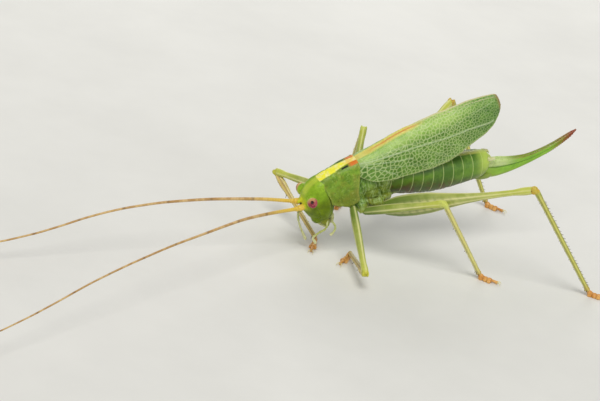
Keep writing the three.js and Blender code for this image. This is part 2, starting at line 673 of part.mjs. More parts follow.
const forewingGrown = SIDES.map(([, sign]) => forewing(sign, CUT));
addPart('pronotum', carve(pronotum(0), thorax(CUT), ...forewingGrown), 'green');
addPart('thorax', carve(thorax(0), abdomen(CUT), ...forewingGrown), 'green');
addPart('subgenital_plate', carve(subgenitalPlate(0), ovipositor(CUT)), 'green');
addPart('ovipositor', ovipositor(0), 'green');
const tail = [ovipositor(CUT), subgenitalPlate(CUT)];
SIDES.forEach(([side, sign]) => {
  addPart(`cercus_${side}`, carve(cercus(sign, 0), ovipositor(CUT)), 'pale');
  tail.push(cercus(sign, CUT));
});
addPart('abdomen', carve(abdomen(0), ...tail, ...forewingGrown), 'green');
SIDES.forEach(([side, sign]) => {
  addPart(`forewing_${side}`, forewing(sign, 0), 'wing');
});
addPart('hindwings', carve(hindwings, ...forewingGrown, thorax(CUT), abdomen(CUT)), 'wing');

const trunkCutters = [thorax(CUT), abdomen(CUT), pronotum(CUT)];
Object.keys(LEGS).forEach((name) => buildLeg(name, trunkCutters));

// Origin: under the middle of the whole model, on the floor.
const extent = new THREE.Box3().setFromObject(insect);
const centre = extent.getCenter(V(0, 0, 0));
insect.children.forEach((mesh) => mesh.geometry.translate(-centre.x, -centre.y, -extent.min.z));

export default insect;
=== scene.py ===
# %% [markdown]
# # A long-horned grasshopper, standing
# This file builds the visible skin of a female long-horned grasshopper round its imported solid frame.
# Every piece is in metres and sits where the frame says. Shapes are worked out in millimetres first,
# because an insect's parts are easier to picture that way, and are scaled once when a mesh is made.

# %% Load the frame
import bmesh
import bpy
import math
import numpy as np
from mathutils import Matrix, Vector
from mathutils.kdtree import KDTree


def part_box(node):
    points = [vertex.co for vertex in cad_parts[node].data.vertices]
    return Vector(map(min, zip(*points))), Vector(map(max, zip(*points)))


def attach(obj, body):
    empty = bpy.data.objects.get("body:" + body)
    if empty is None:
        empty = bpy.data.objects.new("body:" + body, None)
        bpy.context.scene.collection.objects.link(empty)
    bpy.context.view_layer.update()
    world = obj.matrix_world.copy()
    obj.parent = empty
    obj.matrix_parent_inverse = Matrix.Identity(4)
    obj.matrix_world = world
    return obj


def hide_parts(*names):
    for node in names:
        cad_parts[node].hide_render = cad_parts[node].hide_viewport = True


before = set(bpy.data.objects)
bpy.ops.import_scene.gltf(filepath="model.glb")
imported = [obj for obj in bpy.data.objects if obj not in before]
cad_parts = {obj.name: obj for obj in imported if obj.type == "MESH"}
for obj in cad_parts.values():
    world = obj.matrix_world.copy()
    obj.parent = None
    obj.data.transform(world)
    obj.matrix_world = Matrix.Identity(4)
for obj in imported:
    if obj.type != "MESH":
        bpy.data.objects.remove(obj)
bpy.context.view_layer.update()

MM = 0.001
TURN, QUARTER = 2 * np.pi, np.pi / 2
BOTH_SIDES = (("left", 1), ("right", -1))

# %% [markdown]
# ## Rulers that ride on the insect
# The trunk is pitched tail up and rolled a little, the abdomen hangs level and the wings rise with the
# trunk. Measuring each of them along its own axes keeps every number simple: s runs toward the head,
# w to the insect's left and u to its back. The left eye of the frame says where it all stands.

# %% Rulers
TRUNK_HEIGHT = 7.66
TRUNK_PITCH, TRUNK_ROLL = math.radians(28.27), math.radians(8.48)
ABDOMEN_ROOT, ABDOMEN_BEND = -0.5, math.radians(26.74)
WING_BEND = math.radians(2.7)
EYE_AT = (4.56, 1.04, 0.14)


class Ruler:
    """Three directions on a part of the body, and the point where they meet, in mm."""

    def __init__(self, origin, s, w, u):
        self.origin, self.s, self.w, self.u = (np.asarray(v, float) for v in (origin, s, w, u))

    def at(self, s, w, u):
        s, w, u = (np.asarray(v, float)[..., None] for v in (s, w, u))
        return self.origin + s * self.s + w * self.w + u * self.u

    def bent(self, angle, root):
        c, k = math.cos(angle), math.sin(angle)
        return Ruler(self.at(root, 0, 0), c * self.s + k * self.u, self.w, c * self.u - k * self.s)

    def read(self, points):
        offset = points - self.origin
        return np.stack([offset @ self.s, offset @ self.w, offset @ self.u], axis=-1)


def trunk_ruler(origin):
    cp, sp = math.cos(TRUNK_PITCH), math.sin(TRUNK_PITCH)
    cr, sr = math.cos(TRUNK_ROLL), math.sin(TRUNK_ROLL)
    upright = np.array([-sp, 0, cp])
    left = np.array([0, -cr, 0]) - sr * upright
    return Ruler(origin, (-cp, 0, -sp), left, cr * upright + np.array([0, -sr, 0]))


eye_low, eye_high = (np.array(p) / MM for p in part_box("eye_left"))
STAND = (eye_low + eye_high) / 2 - trunk_ruler((0, 0, TRUNK_HEIGHT)).at(*EYE_AT)
STAND[2] = 0
trunk = trunk_ruler(np.array([0, 0, TRUNK_HEIGHT]) + STAND)
rear = trunk.bent(ABDOMEN_BEND, ABDOMEN_ROOT)
wings = trunk.bent(WING_BEND, 0)
print("the trunk's ruler starts at", trunk.origin.round(3))

# %% [markdown]
# ## Camera, light and sky
# The camera looks down on the left side of the insect, from a little in front, and is turned a little
# about its own line of sight. A long lens far away keeps the feelers from swelling. One broad lamp far
# away does most of the work, and two soft ones fill in the shade.

# %% Camera
CAMERA_AZIMUTH, CAMERA_ELEVATION, CAMERA_ROLL = (math.radians(v) for v in (-29.298, 23.407, 13.071))
CAMERA_DISTANCE = 208.0
LENS_LENGTH, SENSOR_WIDTH = 150, 36
AIM = np.array([-2.5044, 3.6756, 3.3108]) + STAND


def add_object(name, data):
    """Puts a mesh, a lamp or a camera into the scene."""
    thing = bpy.data.objects.new(name, data)
    bpy.context.scene.collection.objects.link(thing)
    return thing


def aim_camera():
    ca, sa = math.cos(CAMERA_AZIMUTH), math.sin(CAMERA_AZIMUTH)
    ce, se = math.cos(CAMERA_ELEVATION), math.sin(CAMERA_ELEVATION)
    cr, sr = math.cos(CAMERA_ROLL), math.sin(CAMERA_ROLL)
    back = np.array([sa * ce, -ca * ce, se])
    level = np.array([ca, sa, 0])
    lift = np.cross(back, level)
    lens = bpy.data.cameras.new("camera")
    lens.lens, lens.sensor_width = LENS_LENGTH, SENSOR_WIDTH
    lens.clip_start, lens.clip_end = 0.01, 10
    place = np.eye(4)
    place[:3, :3] = np.stack([cr * level + sr * lift, cr * lift - sr * level, back], axis=1)
    place[:3, 3] = (AIM + CAMERA_DISTANCE * back) * MM
    camera = add_object("camera", lens)
    camera.matrix_world = Matrix(place.tolist())
    bpy.context.scene.camera = camera
    return back


print("camera looks from", aim_camera().round(3))
bpy.context.scene.view_settings.view_transform = "Standard"

# %% Lamps and sky
KEY_SOFTNESS = math.radians(24)
SOFT_LAMPS = (  # name, place and size in mm, watts, colour
    ("fill_lamp", (120, -160, 90), 160, 0.06, (0.95, 0.98, 1.0)),
    ("back_lamp", (60, 170, 120), 120, 0.09, (1, 1, 1)),
)
SKY_COLOUR, SKY_STRENGTH = (0.93, 0.92, 0.9, 1), 0.42


def hang_lamp(name, kind, place_mm, strength, colour):
    """A lamp that faces the insect from its place."""
    lamp = bpy.data.lights.new(name, kind)
    lamp.energy, lamp.color = strength, colour
    thing = add_object(name, lamp)
    thing.location = np.array(place_mm) * MM
    thing.rotation_mode = "QUATERNION"
    thing.rotation_quaternion = Vector([-v for v in place_mm]).to_track_quat("-Z", "Y")
    return lamp


hang_lamp("key_lamp", "SUN", (-70, -120, 190), 1.75, (1.0, 0.98, 0.94)).angle = KEY_SOFTNESS
for name, place_mm, size_mm, watts, colour in SOFT_LAMPS:
    soft = hang_lamp(name, "AREA", place_mm, watts, colour)
    soft.shape, soft.size = "DISK", size_mm * MM

sky = bpy.data.worlds.new("studio")
sky.use_nodes = True
sky.node_tree.nodes["Background"].inputs["Color"].default_value = SKY_COLOUR
sky.node_tree.nodes["Background"].inputs["Strength"].default_value = SKY_STRENGTH
bpy.context.scene.world = sky
print("lamps:", [lamp.name for lamp in bpy.data.lights])

# %% [markdown]
# ## Finishes are built from a few shared effects
# Insect skin is never one colour: it is mottled, finely pitted and flecked. These effects are shader
# groups with named inputs, so that each finish places the same effect with its own scale and strength.
# A finish then lays one colour over another, each as strongly as the product of a few masks.


# %% Shader helpers
def paint(code):
    """A colour written as six hex digits, as the linear values that shaders want."""
    channels = [int(code[k:k + 2], 16) / 255 for k in (0, 2, 4)]
    return tuple(c / 12.92 if c <= 0.04045 else ((c + 0.055) / 1.055) ** 2.4 for c in channels) + (1.0,)


class Wiring:
    """Adds nodes to a tree in few words. Values may be sockets, numbers or colours."""

    def __init__(self, tree):
        self.tree = tree

    def node(self, kind, values=(), **settings):
        made = self.tree.nodes.new(kind)
        for key, value in settings.items():
            setattr(made, key, value)
        for key, value in dict(values).items():
            self.feed(made.inputs[key], value)
        return made

    def feed(self, socket, value):
        if isinstance(value, bpy.types.NodeSocket):
            self.tree.links.new(value, socket)
        else:
            socket.default_value = value

    def math(self, operation, a, b=0.0):
        return self.node("ShaderNodeMath", {0: a, 1: b}, operation=operation).outputs[0]

    def times(self, product, *others):
        for other in others:
            product = self.math("MULTIPLY", product, other)
        return product

    def blend(self, share, a, b):
        return self.node("ShaderNodeMix", {0: share, 6: a, 7: b}, data_type="RGBA").outputs[2]

    def band(self, value, low, high, out_low=0.0, out_high=1.0):
        """Eases from one value to another as the input runs from low to high."""
        ends = {"Value": value, "From Min": low, "From Max": high, "To Min": out_low, "To Max": out_high}
        return self.node("ShaderNodeMapRange", ends, interpolation_type="SMOOTHSTEP").outputs["Result"]

    def window(self, value, start, full, fade, end):
        """Rises to 1 as the input runs from start to full, and falls again from fade to end."""
        return self.times(self.band(value, start, full), self.band(value, end, fade))

    def attribute(self, name, part="Fac"):
        return self.node("ShaderNodeAttribute", attribute_name=name).outputs[part]

    def named(self, name, kind):
        """An attribute, as a Geometry Nodes tree reads it."""
        read = self.node("GeometryNodeInputNamedAttribute", {"Name": name}, data_type=kind)
        return read.outputs["Attribute"]


def new_group(name, family, inputs, outputs):
    """An empty node group with named inputs and outputs, ready to wire."""
    tree = bpy.data.node_groups.new(name, family + "NodeTree")
    for label, kind, value in inputs:
        socket = tree.interface.new_socket(label, in_out="INPUT", socket_type="NodeSocket" + kind)
        if value is not None:
            socket.default_value = value
    for label, kind in outputs:
        tree.interface.new_socket(label, in_out="OUTPUT", socket_type="NodeSocket" + kind)
    wiring = Wiring(tree)
    return wiring, wiring.node("NodeGroupInput"), wiring.node("NodeGroupOutput")


# %% Mottling, pitting and flecks
def shared_effect(name, output, **inputs):
    """A shader group that takes a place and some numbers, and gives one number."""
    sockets = [("Vector", "Vector", None)] + [(label, "Float", value) for label, value in inputs.items()]
    w, put_in, take = new_group(name, "Shader", sockets, [(output, "Float")])
    return w, take.inputs[0], *put_in.outputs[:len(sockets)]


def make_mottle():
    w, mask, place, scale, low, high = shared_effect("mottling", "Mask", Scale=900.0, Low=0.4, High=0.65)
    broad = w.node("ShaderNodeTexNoise", {"Vector": place, "Scale": scale, "Detail": 4.0, "Roughness": 0.62})
    w.feed(mask, w.band(broad.outputs["Fac"], low, high))
    return w.tree


def make_pitting():
    w, height, place, scale, depth = shared_effect("pitting", "Height", Scale=9000.0, Depth=0.5)
    pits = w.node("ShaderNodeTexVoronoi", {"Vector": place, "Scale": scale})
    swell = w.node("ShaderNodeTexNoise", {"Vector": place, "Scale": w.times(scale, 0.35), "Detail": 3.0})
    both = w.math("ADD", w.band(pits.outputs["Distance"], 0.05, 0.5), swell.outputs["Fac"])
    w.feed(height, w.times(both, depth))
    return w.tree


def make_flecks():
    w, mask, place, scale, size = shared_effect("flecks", "Mask", Scale=2600.0, Size=0.12)
    dots = w.node("ShaderNodeTexVoronoi", {"Vector": place, "Scale": scale})
    w.feed(mask, w.band(dots.outputs["Distance"], size, w.times(size, 1.6), 1.0, 0.0))
    return w.tree


MOTTLING, PITTING, FLECKS = make_mottle(), make_pitting(), make_flecks()
PIT_DEPTH = 0.00002


class Finish(Wiring):
    """A material with one Principled shader, the shared effects, and the tone mixed so far."""

    def __init__(self, name, roughness, glow=0.0, gloss=0.0, glow_depth=0.00035, shine=0.32,
                 coat_roughness=0.22):
        self.material = bpy.data.materials.new(name)
        self.material.use_nodes = True
        super().__init__(self.material.node_tree)
        self.shader = self.tree.nodes["Principled BSDF"]
        self.place = self.node("ShaderNodeTexCoord").outputs["Object"]
        settings = {"Roughness": roughness, "Specular IOR Level": shine, "Coat Weight": gloss,
                    "Coat Roughness": coat_roughness, "Subsurface Weight": glow,
                    "Subsurface Radius": (1.0, 1.1, 0.35), "Subsurface Scale": glow_depth}
        for key, value in settings.items():
            self.shader.inputs[key].default_value = value

    def effect(self, tree, **values):
        return self.node("ShaderNodeGroup", {"Vector": self.place, **values}, node_tree=tree).outputs[0]

    def mottle(self, scale, low=0.4, high=0.62):
        return self.effect(MOTTLING, Scale=scale, Low=low, High=high)

    def flecks(self, scale, size):
        return self.effect(FLECKS, Scale=scale, Size=size)

    def patches(self, first, second, *mottling):
        """One colour with patches of another."""
        return self.blend(self.mottle(*mottling), paint(first), paint(second))

    def body_place(self):
        """The insect's own s, w and u at each point."""
        place = self.node("ShaderNodeSeparateXYZ", {"Vector": self.attribute("place", "Vector")})
        return place.outputs["X"], place.outputs["Y"], place.outputs["Z"]

    def coat(self, colour, *masks):
        """Lays a colour over the tone so far, as strongly as the product of the masks."""
        if isinstance(colour, str):
            colour = paint(colour)
        self.tone = self.blend(self.times(*masks), self.tone, colour)

    def finish(self, scale, depth, strength):
        """Wires the tone and a finely pitted surface to the shader."""
        self.feed(self.shader.inputs["Base Color"], self.tone)
        height = self.effect(PITTING, Scale=scale, Depth=depth)
        bump = self.node("ShaderNodeBump", {"Height": height, "Strength": strength, "Distance": PIT_DEPTH})
        self.feed(self.shader.inputs["Normal"], bump.outputs["Normal"])
        return self.material


print("shared effects:", [g.name for g in bpy.data.node_groups])


# %% Floor
FLOOR_REACH = 3.0


def lay_floor():
    f = Finish("studio_floor", roughness=0.75)
    f.tone = f.patches("e6e6e2", "dededa", 60.0, 0.2, 0.8)
    mesh = bpy.data.meshes.new("studio_floor")
    corners = [(x * FLOOR_REACH, y * FLOOR_REACH, 0) for x, y in ((-1, -1), (1, -1), (1, 1), (-1, 1))]
    mesh.from_pydata(corners, [], [(0, 1, 2, 3)])
    mesh.materials.append(f.finish(4000.0, 0.3, 0.05))
    thing = add_object("studio_floor", mesh)


lay_floor()
print("floor laid")

# %% [markdown]
# ## Shaping tools
# Most of an insect is a row of rings: a leg, an abdomen, a palp. The tools here run a smooth line
# through a few measured stations, skin the rings, and turn a bent sheet into a thin closed shell.
# They keep each point's place along and around the part as an attribute, which the finishes read.


# %% Smooth lines through stations
def flow(x, stations):
    """Smooth values at x through stations [[place, value...]...], with no overshoot between them."""
    rows = np.asarray(sorted(stations, key=lambda row: row[0]), float)
    places, values = rows[:, 0], rows[:, 1:]
    step = np.diff(places)[:, None]
    slope = np.diff(values, axis=0) / step
    tangent = np.zeros_like(values)
    tangent[0], tangent[-1] = slope[0], slope[-1]
    product = slope[:-1] * slope[1:]
    total = slope[:-1] + slope[1:]
    tangent[1:-1] = np.where(product > 0, 2 * product / np.where(total == 0, 1, total), 0)
    x = np.clip(np.asarray(x, float), places[0], places[-1])
    k = np.clip(np.searchsorted(places, x) - 1, 0, len(places) - 2)
    t = ((x - places[k]) / step[k, 0])[..., None]
    a, b, ta, tb, h = values[k], values[k + 1], tangent[k], tangent[k + 1], step[k]
    t2, t3 = t * t, t * t * t
    return a * (2 * t3 - 3 * t2 + 1) + b * (3 * t2 - 2 * t3) + h * (ta * (t3 - 2 * t2 + t) + tb * (t3 - t2))


def hump(x, centre, width):
    """A smooth bump of height 1 at the centre."""
    return np.exp(-((np.asarray(x, float) - centre) / width) ** 2)


def rise(x, start, length):
    """0 before the start, then even growth to 1."""
    return np.clip((x - start) / length, 0, 1)


def angles(around, shift=0.0):
    return TURN * (np.arange(around) + shift) / around


def rounded_power(value, power):
    return np.sign(value) * np.abs(value) ** (2.0 / power)


def unit(v):
    v = np.asarray(v, float)
    return v / np.maximum(np.linalg.norm(v, axis=-1, keepdims=True), 1e-12)


def mirrored(point, sign):
    return np.array([point[0], sign * point[1], point[2]])


def grid_normal(grid, outward_axis=None):
    """Unit normals of a grid of points. Along the given axis they point out in the middle."""
    normal = unit(np.cross(np.gradient(grid, axis=0), np.gradient(grid, axis=1)))
    middle = normal[grid.shape[0] // 2, grid.shape[1] // 2]
    return -normal if outward_axis is not None and middle[outward_axis] < 0 else normal


# %% Meshes from points
def faces_volume(points, faces):
    """Signed volume of a closed skin, to tell whether its faces look out."""
    tris = np.array([(f[0], f[k], f[k + 1]) for f in faces for k in range(1, len(f) - 1)])
    a, b, c = (points[tris[:, k]] for k in range(3))
    return float(np.einsum("ij,ij->i", a, np.cross(b, c)).sum() / 6)


def mark(mesh, **attributes):
    """Keeps numbers or triples on a mesh's points."""
    for key, values in attributes.items():
        values = np.asarray(values, np.float32)
        kind, field = ("FLOAT_VECTOR", "vector") if values.ndim == 2 else ("FLOAT", "value")
        mesh.attributes.new(key, kind, "POINT").data.foreach_set(field, values.ravel())


def read_points(mesh):
    flat = np.empty(len(mesh.vertices) * 3)
    mesh.vertices.foreach_get("co", flat)
    return flat.reshape(-1, 3)


def make_piece(name, points, faces, finish=None, **attributes):
    """A mesh object from points in mm, with its faces turned out."""
    if faces_volume(points - points.mean(axis=0), faces) < 0:
        faces = [f[::-1] for f in faces]
    mesh = bpy.data.meshes.new(name)
    mesh.from_pydata((points * MM).tolist(), [], faces)
    mark(mesh, **attributes)
    if finish is not None:
        mesh.materials.append(finish)
    mesh.polygons.foreach_set("use_smooth", np.ones(len(mesh.polygons), bool))
    mesh.update()
    return add_object(name, mesh)


def settle(piece, slot, nodes):
    """The piece rides on the still model and stands for its nodes. The slot is not used."""
    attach(piece, "root")
    if nodes:
        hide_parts(*nodes)
    print(piece.name, "has", len(piece.data.polygons), "faces")


def add_piece(name, skin, finish, slot, nodes, **attributes):
    """Makes a piece from the points and faces of a skin, and settles it."""
    settle(make_piece(name, *skin, finish, **attributes), slot, nodes)


# %% Tubes of rings, and thin shells
def tube(rings):
    """Points and faces of a closed tube. Rings is an array of ring, point, xyz."""
    count, around = rings.shape[:2]
    points = np.concatenate([rings.reshape(-1, 3), rings[:1].mean(axis=1), rings[-1:].mean(axis=1)])
    here = np.arange(around)
    ahead = (here + 1) % around
    faces = []
    for low in range(0, (count - 1) * around, around):
        high = low + around
        faces += np.stack([low + here, low + ahead, high + ahead, high + here], axis=1).tolist()
    base, first = (count - 1) * around, count * around
    faces += np.stack([first + 0 * here, ahead, here], axis=1).tolist()
    faces += np.stack([first + 1 + 0 * here, base + here, base + ahead], axis=1).tolist()
    return points, faces


def tube_values(values, around=None):
    """Spreads a value for each ring, or for each ring point, over a tube's points."""
    values = np.asarray(values, float)
    if values.ndim == 1:
        values = np.repeat(values[:, None], around, axis=1)
    return np.concatenate([values.ravel(), [values[0].mean(), values[-1].mean()]])


def body_rings(s, rows, around, power, swell=None):
    """Rings across the body, from rows of s, centre u, half-width, reach above and reach below."""
    centre, half, over, under = (column[:, None] for column in flow(s, rows).T)
    angle = angles(around, 0.5)[None]
    s = s[:, None] + 0 * angle
    w = rounded_power(np.cos(angle), power) * half
    u = rounded_power(np.sin(angle), power) * np.where(np.sin(angle) > 0, over, under)
    if swell is not None:
        grown = 1 + swell(s, angle + 0 * s) / np.maximum(np.sqrt(w * w + u * u), 0.05)
        w, u = w * grown, u * grown
    return np.stack([s, w, u + centre], axis=-1)


def shell(grid, thickness):
    """Points and faces of a thin closed shell under an outer grid of points."""
    rows, columns = grid.shape[:2]
    points = np.concatenate([grid.reshape(-1, 3), (grid - grid_normal(grid) * thickness).reshape(-1, 3)])
    index = np.arange(rows * columns).reshape(rows, columns)
    back = index + rows * columns
    faces = []
    for r in range(rows - 1):
        faces += np.stack([index[r, :-1], index[r, 1:], index[r + 1, 1:], index[r + 1, :-1]], axis=1).tolist()
        faces += np.stack([back[r, :-1], back[r + 1, :-1], back[r + 1, 1:], back[r, 1:]], axis=1).tolist()
    edge, under = (np.concatenate([k[0, :-1], k[:-1, -1], k[-1, :0:-1], k[:0:-1, 0]]) for k in (index, back))
    faces += np.stack([np.roll(edge, -1), edge, under, np.roll(under, -1)], axis=1).tolist()
    return points, faces


# %% Joining, melting and simple solids
def join(skins):
    """One set of points and faces from several."""
    points, faces, start = [], [], 0
    for p, f in skins:
        points.append(p)
        faces += [[k + start for k in face] for face in f]
        start += len(p)
    return np.concatenate(points), faces


def join_marked(parts, *keys):
    """Joins points, faces and marks. A mark that a part doesn't carry is 0 there."""
    marks = {}
    for key in keys:
        marks[key] = np.concatenate([np.broadcast_to(held.get(key, 0.0), len(p)) for p, _, held in parts])
    return join([part[:2] for part in parts]), marks


def fused(skins, voxel, smoothing):
    """Melts overlapping closed shapes, in mm, into one smooth skin."""
    points, faces = join(skins)
    mesh = bpy.data.meshes.new("fusing")
    mesh.from_pydata(points.tolist(), [], faces)
    lump = add_object("fusing", mesh)
    melt = lump.modifiers.new("melt", "REMESH")
    melt.mode, melt.voxel_size = "VOXEL", voxel
    ease = lump.modifiers.new("ease", "SMOOTH")
    ease.factor, ease.iterations = 0.5, smoothing
    solid = bpy.data.meshes.new_from_object(lump.evaluated_get(bpy.context.evaluated_depsgraph_get()))
    skin = read_points(solid), [tuple(p.vertices) for p in solid.polygons]
    bpy.data.objects.remove(lump)
    bpy.data.meshes.remove(mesh)
    bpy.data.meshes.remove(solid)
    return skin


def ball(centre, radii, rows=14, around=20):
    """A closed ball in plain mm, for melting into other shapes."""
    lat = (np.linspace(-1, 1, rows + 2)[1:-1] * np.pi / 2)[:, None]
    angle = angles(around)
    x, y = np.cos(lat) * np.cos(angle), np.cos(lat) * np.sin(angle)
    return tube(np.stack([x, y, np.sin(lat) + 0 * angle], axis=-1) * np.asarray(radii) + np.asarray(centre))


def side_balls(lumps):
    """A ball on each side of the body for every centre and radii."""
    return [ball(mirrored(at, sign), radii) for _, sign in BOTH_SIDES for at, radii in lumps]


def peg(start, end, radii, around=16, steps=14):
    """A closed round peg between two points, with a radius at each of several even stations."""
    start, end = np.asarray(start, float), np.asarray(end, float)
    axis = unit(end - start)
    side = unit(np.cross(axis, (0.3, 0.5, 0.81)))
    t = np.linspace(0, 1, steps)
    radius = flow(t, [[k / (len(radii) - 1), r] for k, r in enumerate(radii)])
    angle = angles(around)[:, None]
    spoke = np.cos(angle) * side + np.sin(angle) * np.cross(axis, side)
    return tube((start + t[:, None] * (end - start))[:, None] + radius[:, :, None] * spoke[None])


def path_points(knots, count):
    """Even points along a smooth path through knots."""
    length = run_along(knots)
    fine = flow(np.linspace(0, length[-1], 400), np.column_stack([length, knots]))
    run = run_along(fine)
    even = np.linspace(0, run[-1], count)
    return np.stack([np.interp(even, run, fine[:, k]) for k in range(3)], axis=1)


def run_along(path):
    """The length of a path up to each of its points."""
    return np.concatenate([[0], np.cumsum(np.linalg.norm(np.diff(path, axis=0), axis=1))])


def sweep_rings(path, radius, around):
    """Rings square to a path, turned as little as possible along it."""
    along = unit(np.gradient(path, axis=0))
    side = unit(np.cross(along[0], (0.2, 0.3, 0.93)))
    angle = angles(around)[:, None]
    rings = []
    for k in range(len(path)):
        side = unit(side - (side @ along[k]) * along[k])
        rings.append(path[k] + radius[k] * (np.cos(angle) * side + np.sin(angle) * np.cross(along[k], side)))
    return np.array(rings)


def distance_to_line(points, start, end):
    """Distance in a plane from points to a short line, all as pairs."""
    start, end = np.asarray(start, float), np.asarray(end, float)
    along = end - start
    t = np.clip(((points - start) @ along) / (along @ along), 0, 1)
    return np.linalg.norm(points - start - t[:, None] * along, axis=1)


def outward(points, faces):
    """Point normals of a mesh, from its faces."""
    faces = np.array([f if len(f) == 4 else (*f, f[-1]) for f in faces])
    a, b, c, d = (points[faces[:, k]] for k in range(4))
    flat = np.cross(c - a, d - b)
    total = np.zeros_like(points)
    for k in range(4):
        np.add.at(total, faces[:, k], flat)
    total = unit(total)
    return total if np.einsum("ij,ij->", total, points - points.mean(axis=0)) > 0 else -total


print("shaping tools ready")

# %% [markdown]
# ## Spines, hairs and teeth
# Everything short and pointed on an insect repeats: rows of spines on the shins, hairs on the legs,
# teeth on the egg-layer. One Geometry Nodes tree sets a slim cone on each point of a scatter, leaning
# the way that point's own attribute says, so each row only needs its points worked out.

# %% Geometry Nodes helpers
PATCH_SIZE = 0.0015


def grow_tree(name, **inputs):
    """A Geometry Nodes group that takes a mesh, some numbers and a finish."""
    kinds = [("Geometry", "Geometry", None)]
    for label, value in inputs.items():
        kinds.append((label.replace("_", " "), "Int" if isinstance(value, int) else "Float", value))
    return new_group(name, "Geometry", kinds + [("Finish", "Material", None)], [("Geometry", "Geometry")])


def coat_and_close(w, put_in, take, geometry):
    """Sets the material last of all, and hands the geometry out."""
    coated = w.node("GeometryNodeSetMaterial", {"Geometry": geometry, "Material": put_in.outputs["Finish"]})
    w.feed(take.inputs[0], coated.outputs["Geometry"])
    return w.tree


def grown(name, seed_mesh, tree, **values):
    """Runs a tree on a scatter or a path and keeps the result as a plain mesh object."""
    host = add_object(name + "_seed", seed_mesh)
    modifier = host.modifiers.new("grow", "NODES")
    modifier.node_group = tree
    for item in tree.interface.items_tree:
        key = item.name.replace(" ", "_")
        if item.item_type == "SOCKET" and item.in_out == "INPUT" and key in values:
            modifier[item.identifier] = values[key]
    host.update_tag()
    mesh = bpy.data.meshes.new_from_object(host.evaluated_get(bpy.context.evaluated_depsgraph_get()))
    bpy.data.objects.remove(host)
    mesh.name = name
    return add_object(name, mesh)


def store(w, geometry, name, value, kind, domain):
    """Keeps a value on the geometry under a name."""
    made = w.node("GeometryNodeStoreNamedAttribute", {"Geometry": geometry, "Name": name, "Value": value},
                  data_type=kind, domain=domain)
    return made.outputs["Geometry"]


def spine_tree():
    w, put_in, take = grow_tree("spines", Slimness=0.12, Sides=5)
    cone = w.node("GeometryNodeMeshCone", {"Vertices": put_in.outputs["Sides"], "Radius Top": 0.06,
                                           "Radius Bottom": put_in.outputs["Slimness"], "Depth": 1.0})
    local = w.node("GeometryNodeInputPosition").outputs["Position"]
    patch = w.node("ShaderNodeVectorMath", {"Vector": local}, operation="SCALE")
    patch.inputs["Scale"].default_value = PATCH_SIZE
    marked = store(w, cone.outputs["Mesh"], "patch", patch.outputs["Vector"], "FLOAT_VECTOR", "POINT")
    lean, size = w.named("lean", "FLOAT_VECTOR"), w.named("size", "FLOAT")
    turn = w.node("FunctionNodeAlignRotationToVector", {"Vector": lean}, axis="Z")
    points = w.node("GeometryNodeMeshToPoints", {"Mesh": put_in.outputs["Geometry"]})
    sown = w.node("GeometryNodeInstanceOnPoints", {"Points": points.outputs["Points"], "Instance": marked,
                                                   "Rotation": turn.outputs["Rotation"], "Scale": size})
    real = w.node("GeometryNodeRealizeInstances", {"Geometry": sown.outputs["Instances"]})
    unwrap = w.node("ShaderNodeVectorMath", {k: w.named(key, "FLOAT_VECTOR") for k, key in
                                             enumerate(("spot", "patch"))}, operation="ADD")
    mapped = store(w, real.outputs["Geometry"], "OFBake", unwrap.outputs["Vector"], "FLOAT2", "CORNER")
    return coat_and_close(w, put_in, take, mapped)


SPINES = spine_tree()


def scatter(points, leans, sizes, spots):
    """Loose points that carry how their spine leans, its length, and its place on the skin's unwrap."""
    mesh = bpy.data.meshes.new("scatter")
    mesh.from_pydata((points * MM).tolist(), [], [])
    mark(mesh, lean=leans, spot=np.column_stack([spots, np.zeros(len(spots))]), size=np.float32(sizes) * MM)
    return mesh


print("trees:", [g.name for g in bpy.data.node_groups if g.bl_idname == "GeometryNodeTree"])

# %% [markdown]
# ## Skin finishes of the body
# The living skin is a translucent yellow-green, lit a little from inside, with a satin shine. The crown
# and the pronotum carry a clear yellow line, the cheeks are olive, and the whole is finely mottled.
# The patterns follow the insect's own measures, kept on each point as the attribute "place".


# %% Head finish
def head_finish():
    f = Finish("head_skin", roughness=0.46, glow=0.2, gloss=0.1, shine=0.2)
    s, w, u = f.body_place()
    side = f.math("ABSOLUTE", w)
    f.tone = f.patches("82a81c", "98bc2c", 700.0)
    f.coat("57780c", f.mottle(3800.0, 0.45, 0.65), 0.35)
    f.coat(f.patches("5e7400", "748c04", 1500.0, 0.35, 0.65), f.band(u, 0.3, -0.7))  # cheeks
    f.coat("ccd850", f.band(side, 0.5, 0.12), f.band(u, 0.1, 0.7), 0.6)  # crown: partly the start of the yellow line, partly a painted highlight on the top of the head
    f.coat("bccc30", f.band(s, 4.5, 5.0), f.window(u, -1.3, -0.5, 0.0, 0.5), 0.55)  # face beside the horn
    f.coat("cbd02e", f.band(s, 4.85, 5.15), f.band(u, -0.62, -0.3))  # horn
    dark_u, pale_u = f.window(u, -0.5, -0.45, -0.27, -0.22), f.window(u, -0.8, -0.72, -0.5, -0.46)
    f.coat("1d1a08", f.band(s, 5.06, 5.12), f.band(side, 0.2, 0.15), dark_u)  # gap under the horn
    f.coat("e6e2c0", f.band(s, 5.1, 5.22), f.band(side, 0.16, 0.08), pale_u)  # knob between the feelers
    f.coat("a7bb4c", f.band(s, 3.3, 3.0), f.band(side, 0.9, 1.1), f.band(u, -1.6, -0.9), 0.35)
    f.coat("9a9c3c", f.band(u, -2.35, -2.62), 0.6)  # lower edge
    f.coat("455c0a", f.flecks(6500.0, 0.09), 0.45)
    return f.finish(6500.0, 1.0, 0.55)


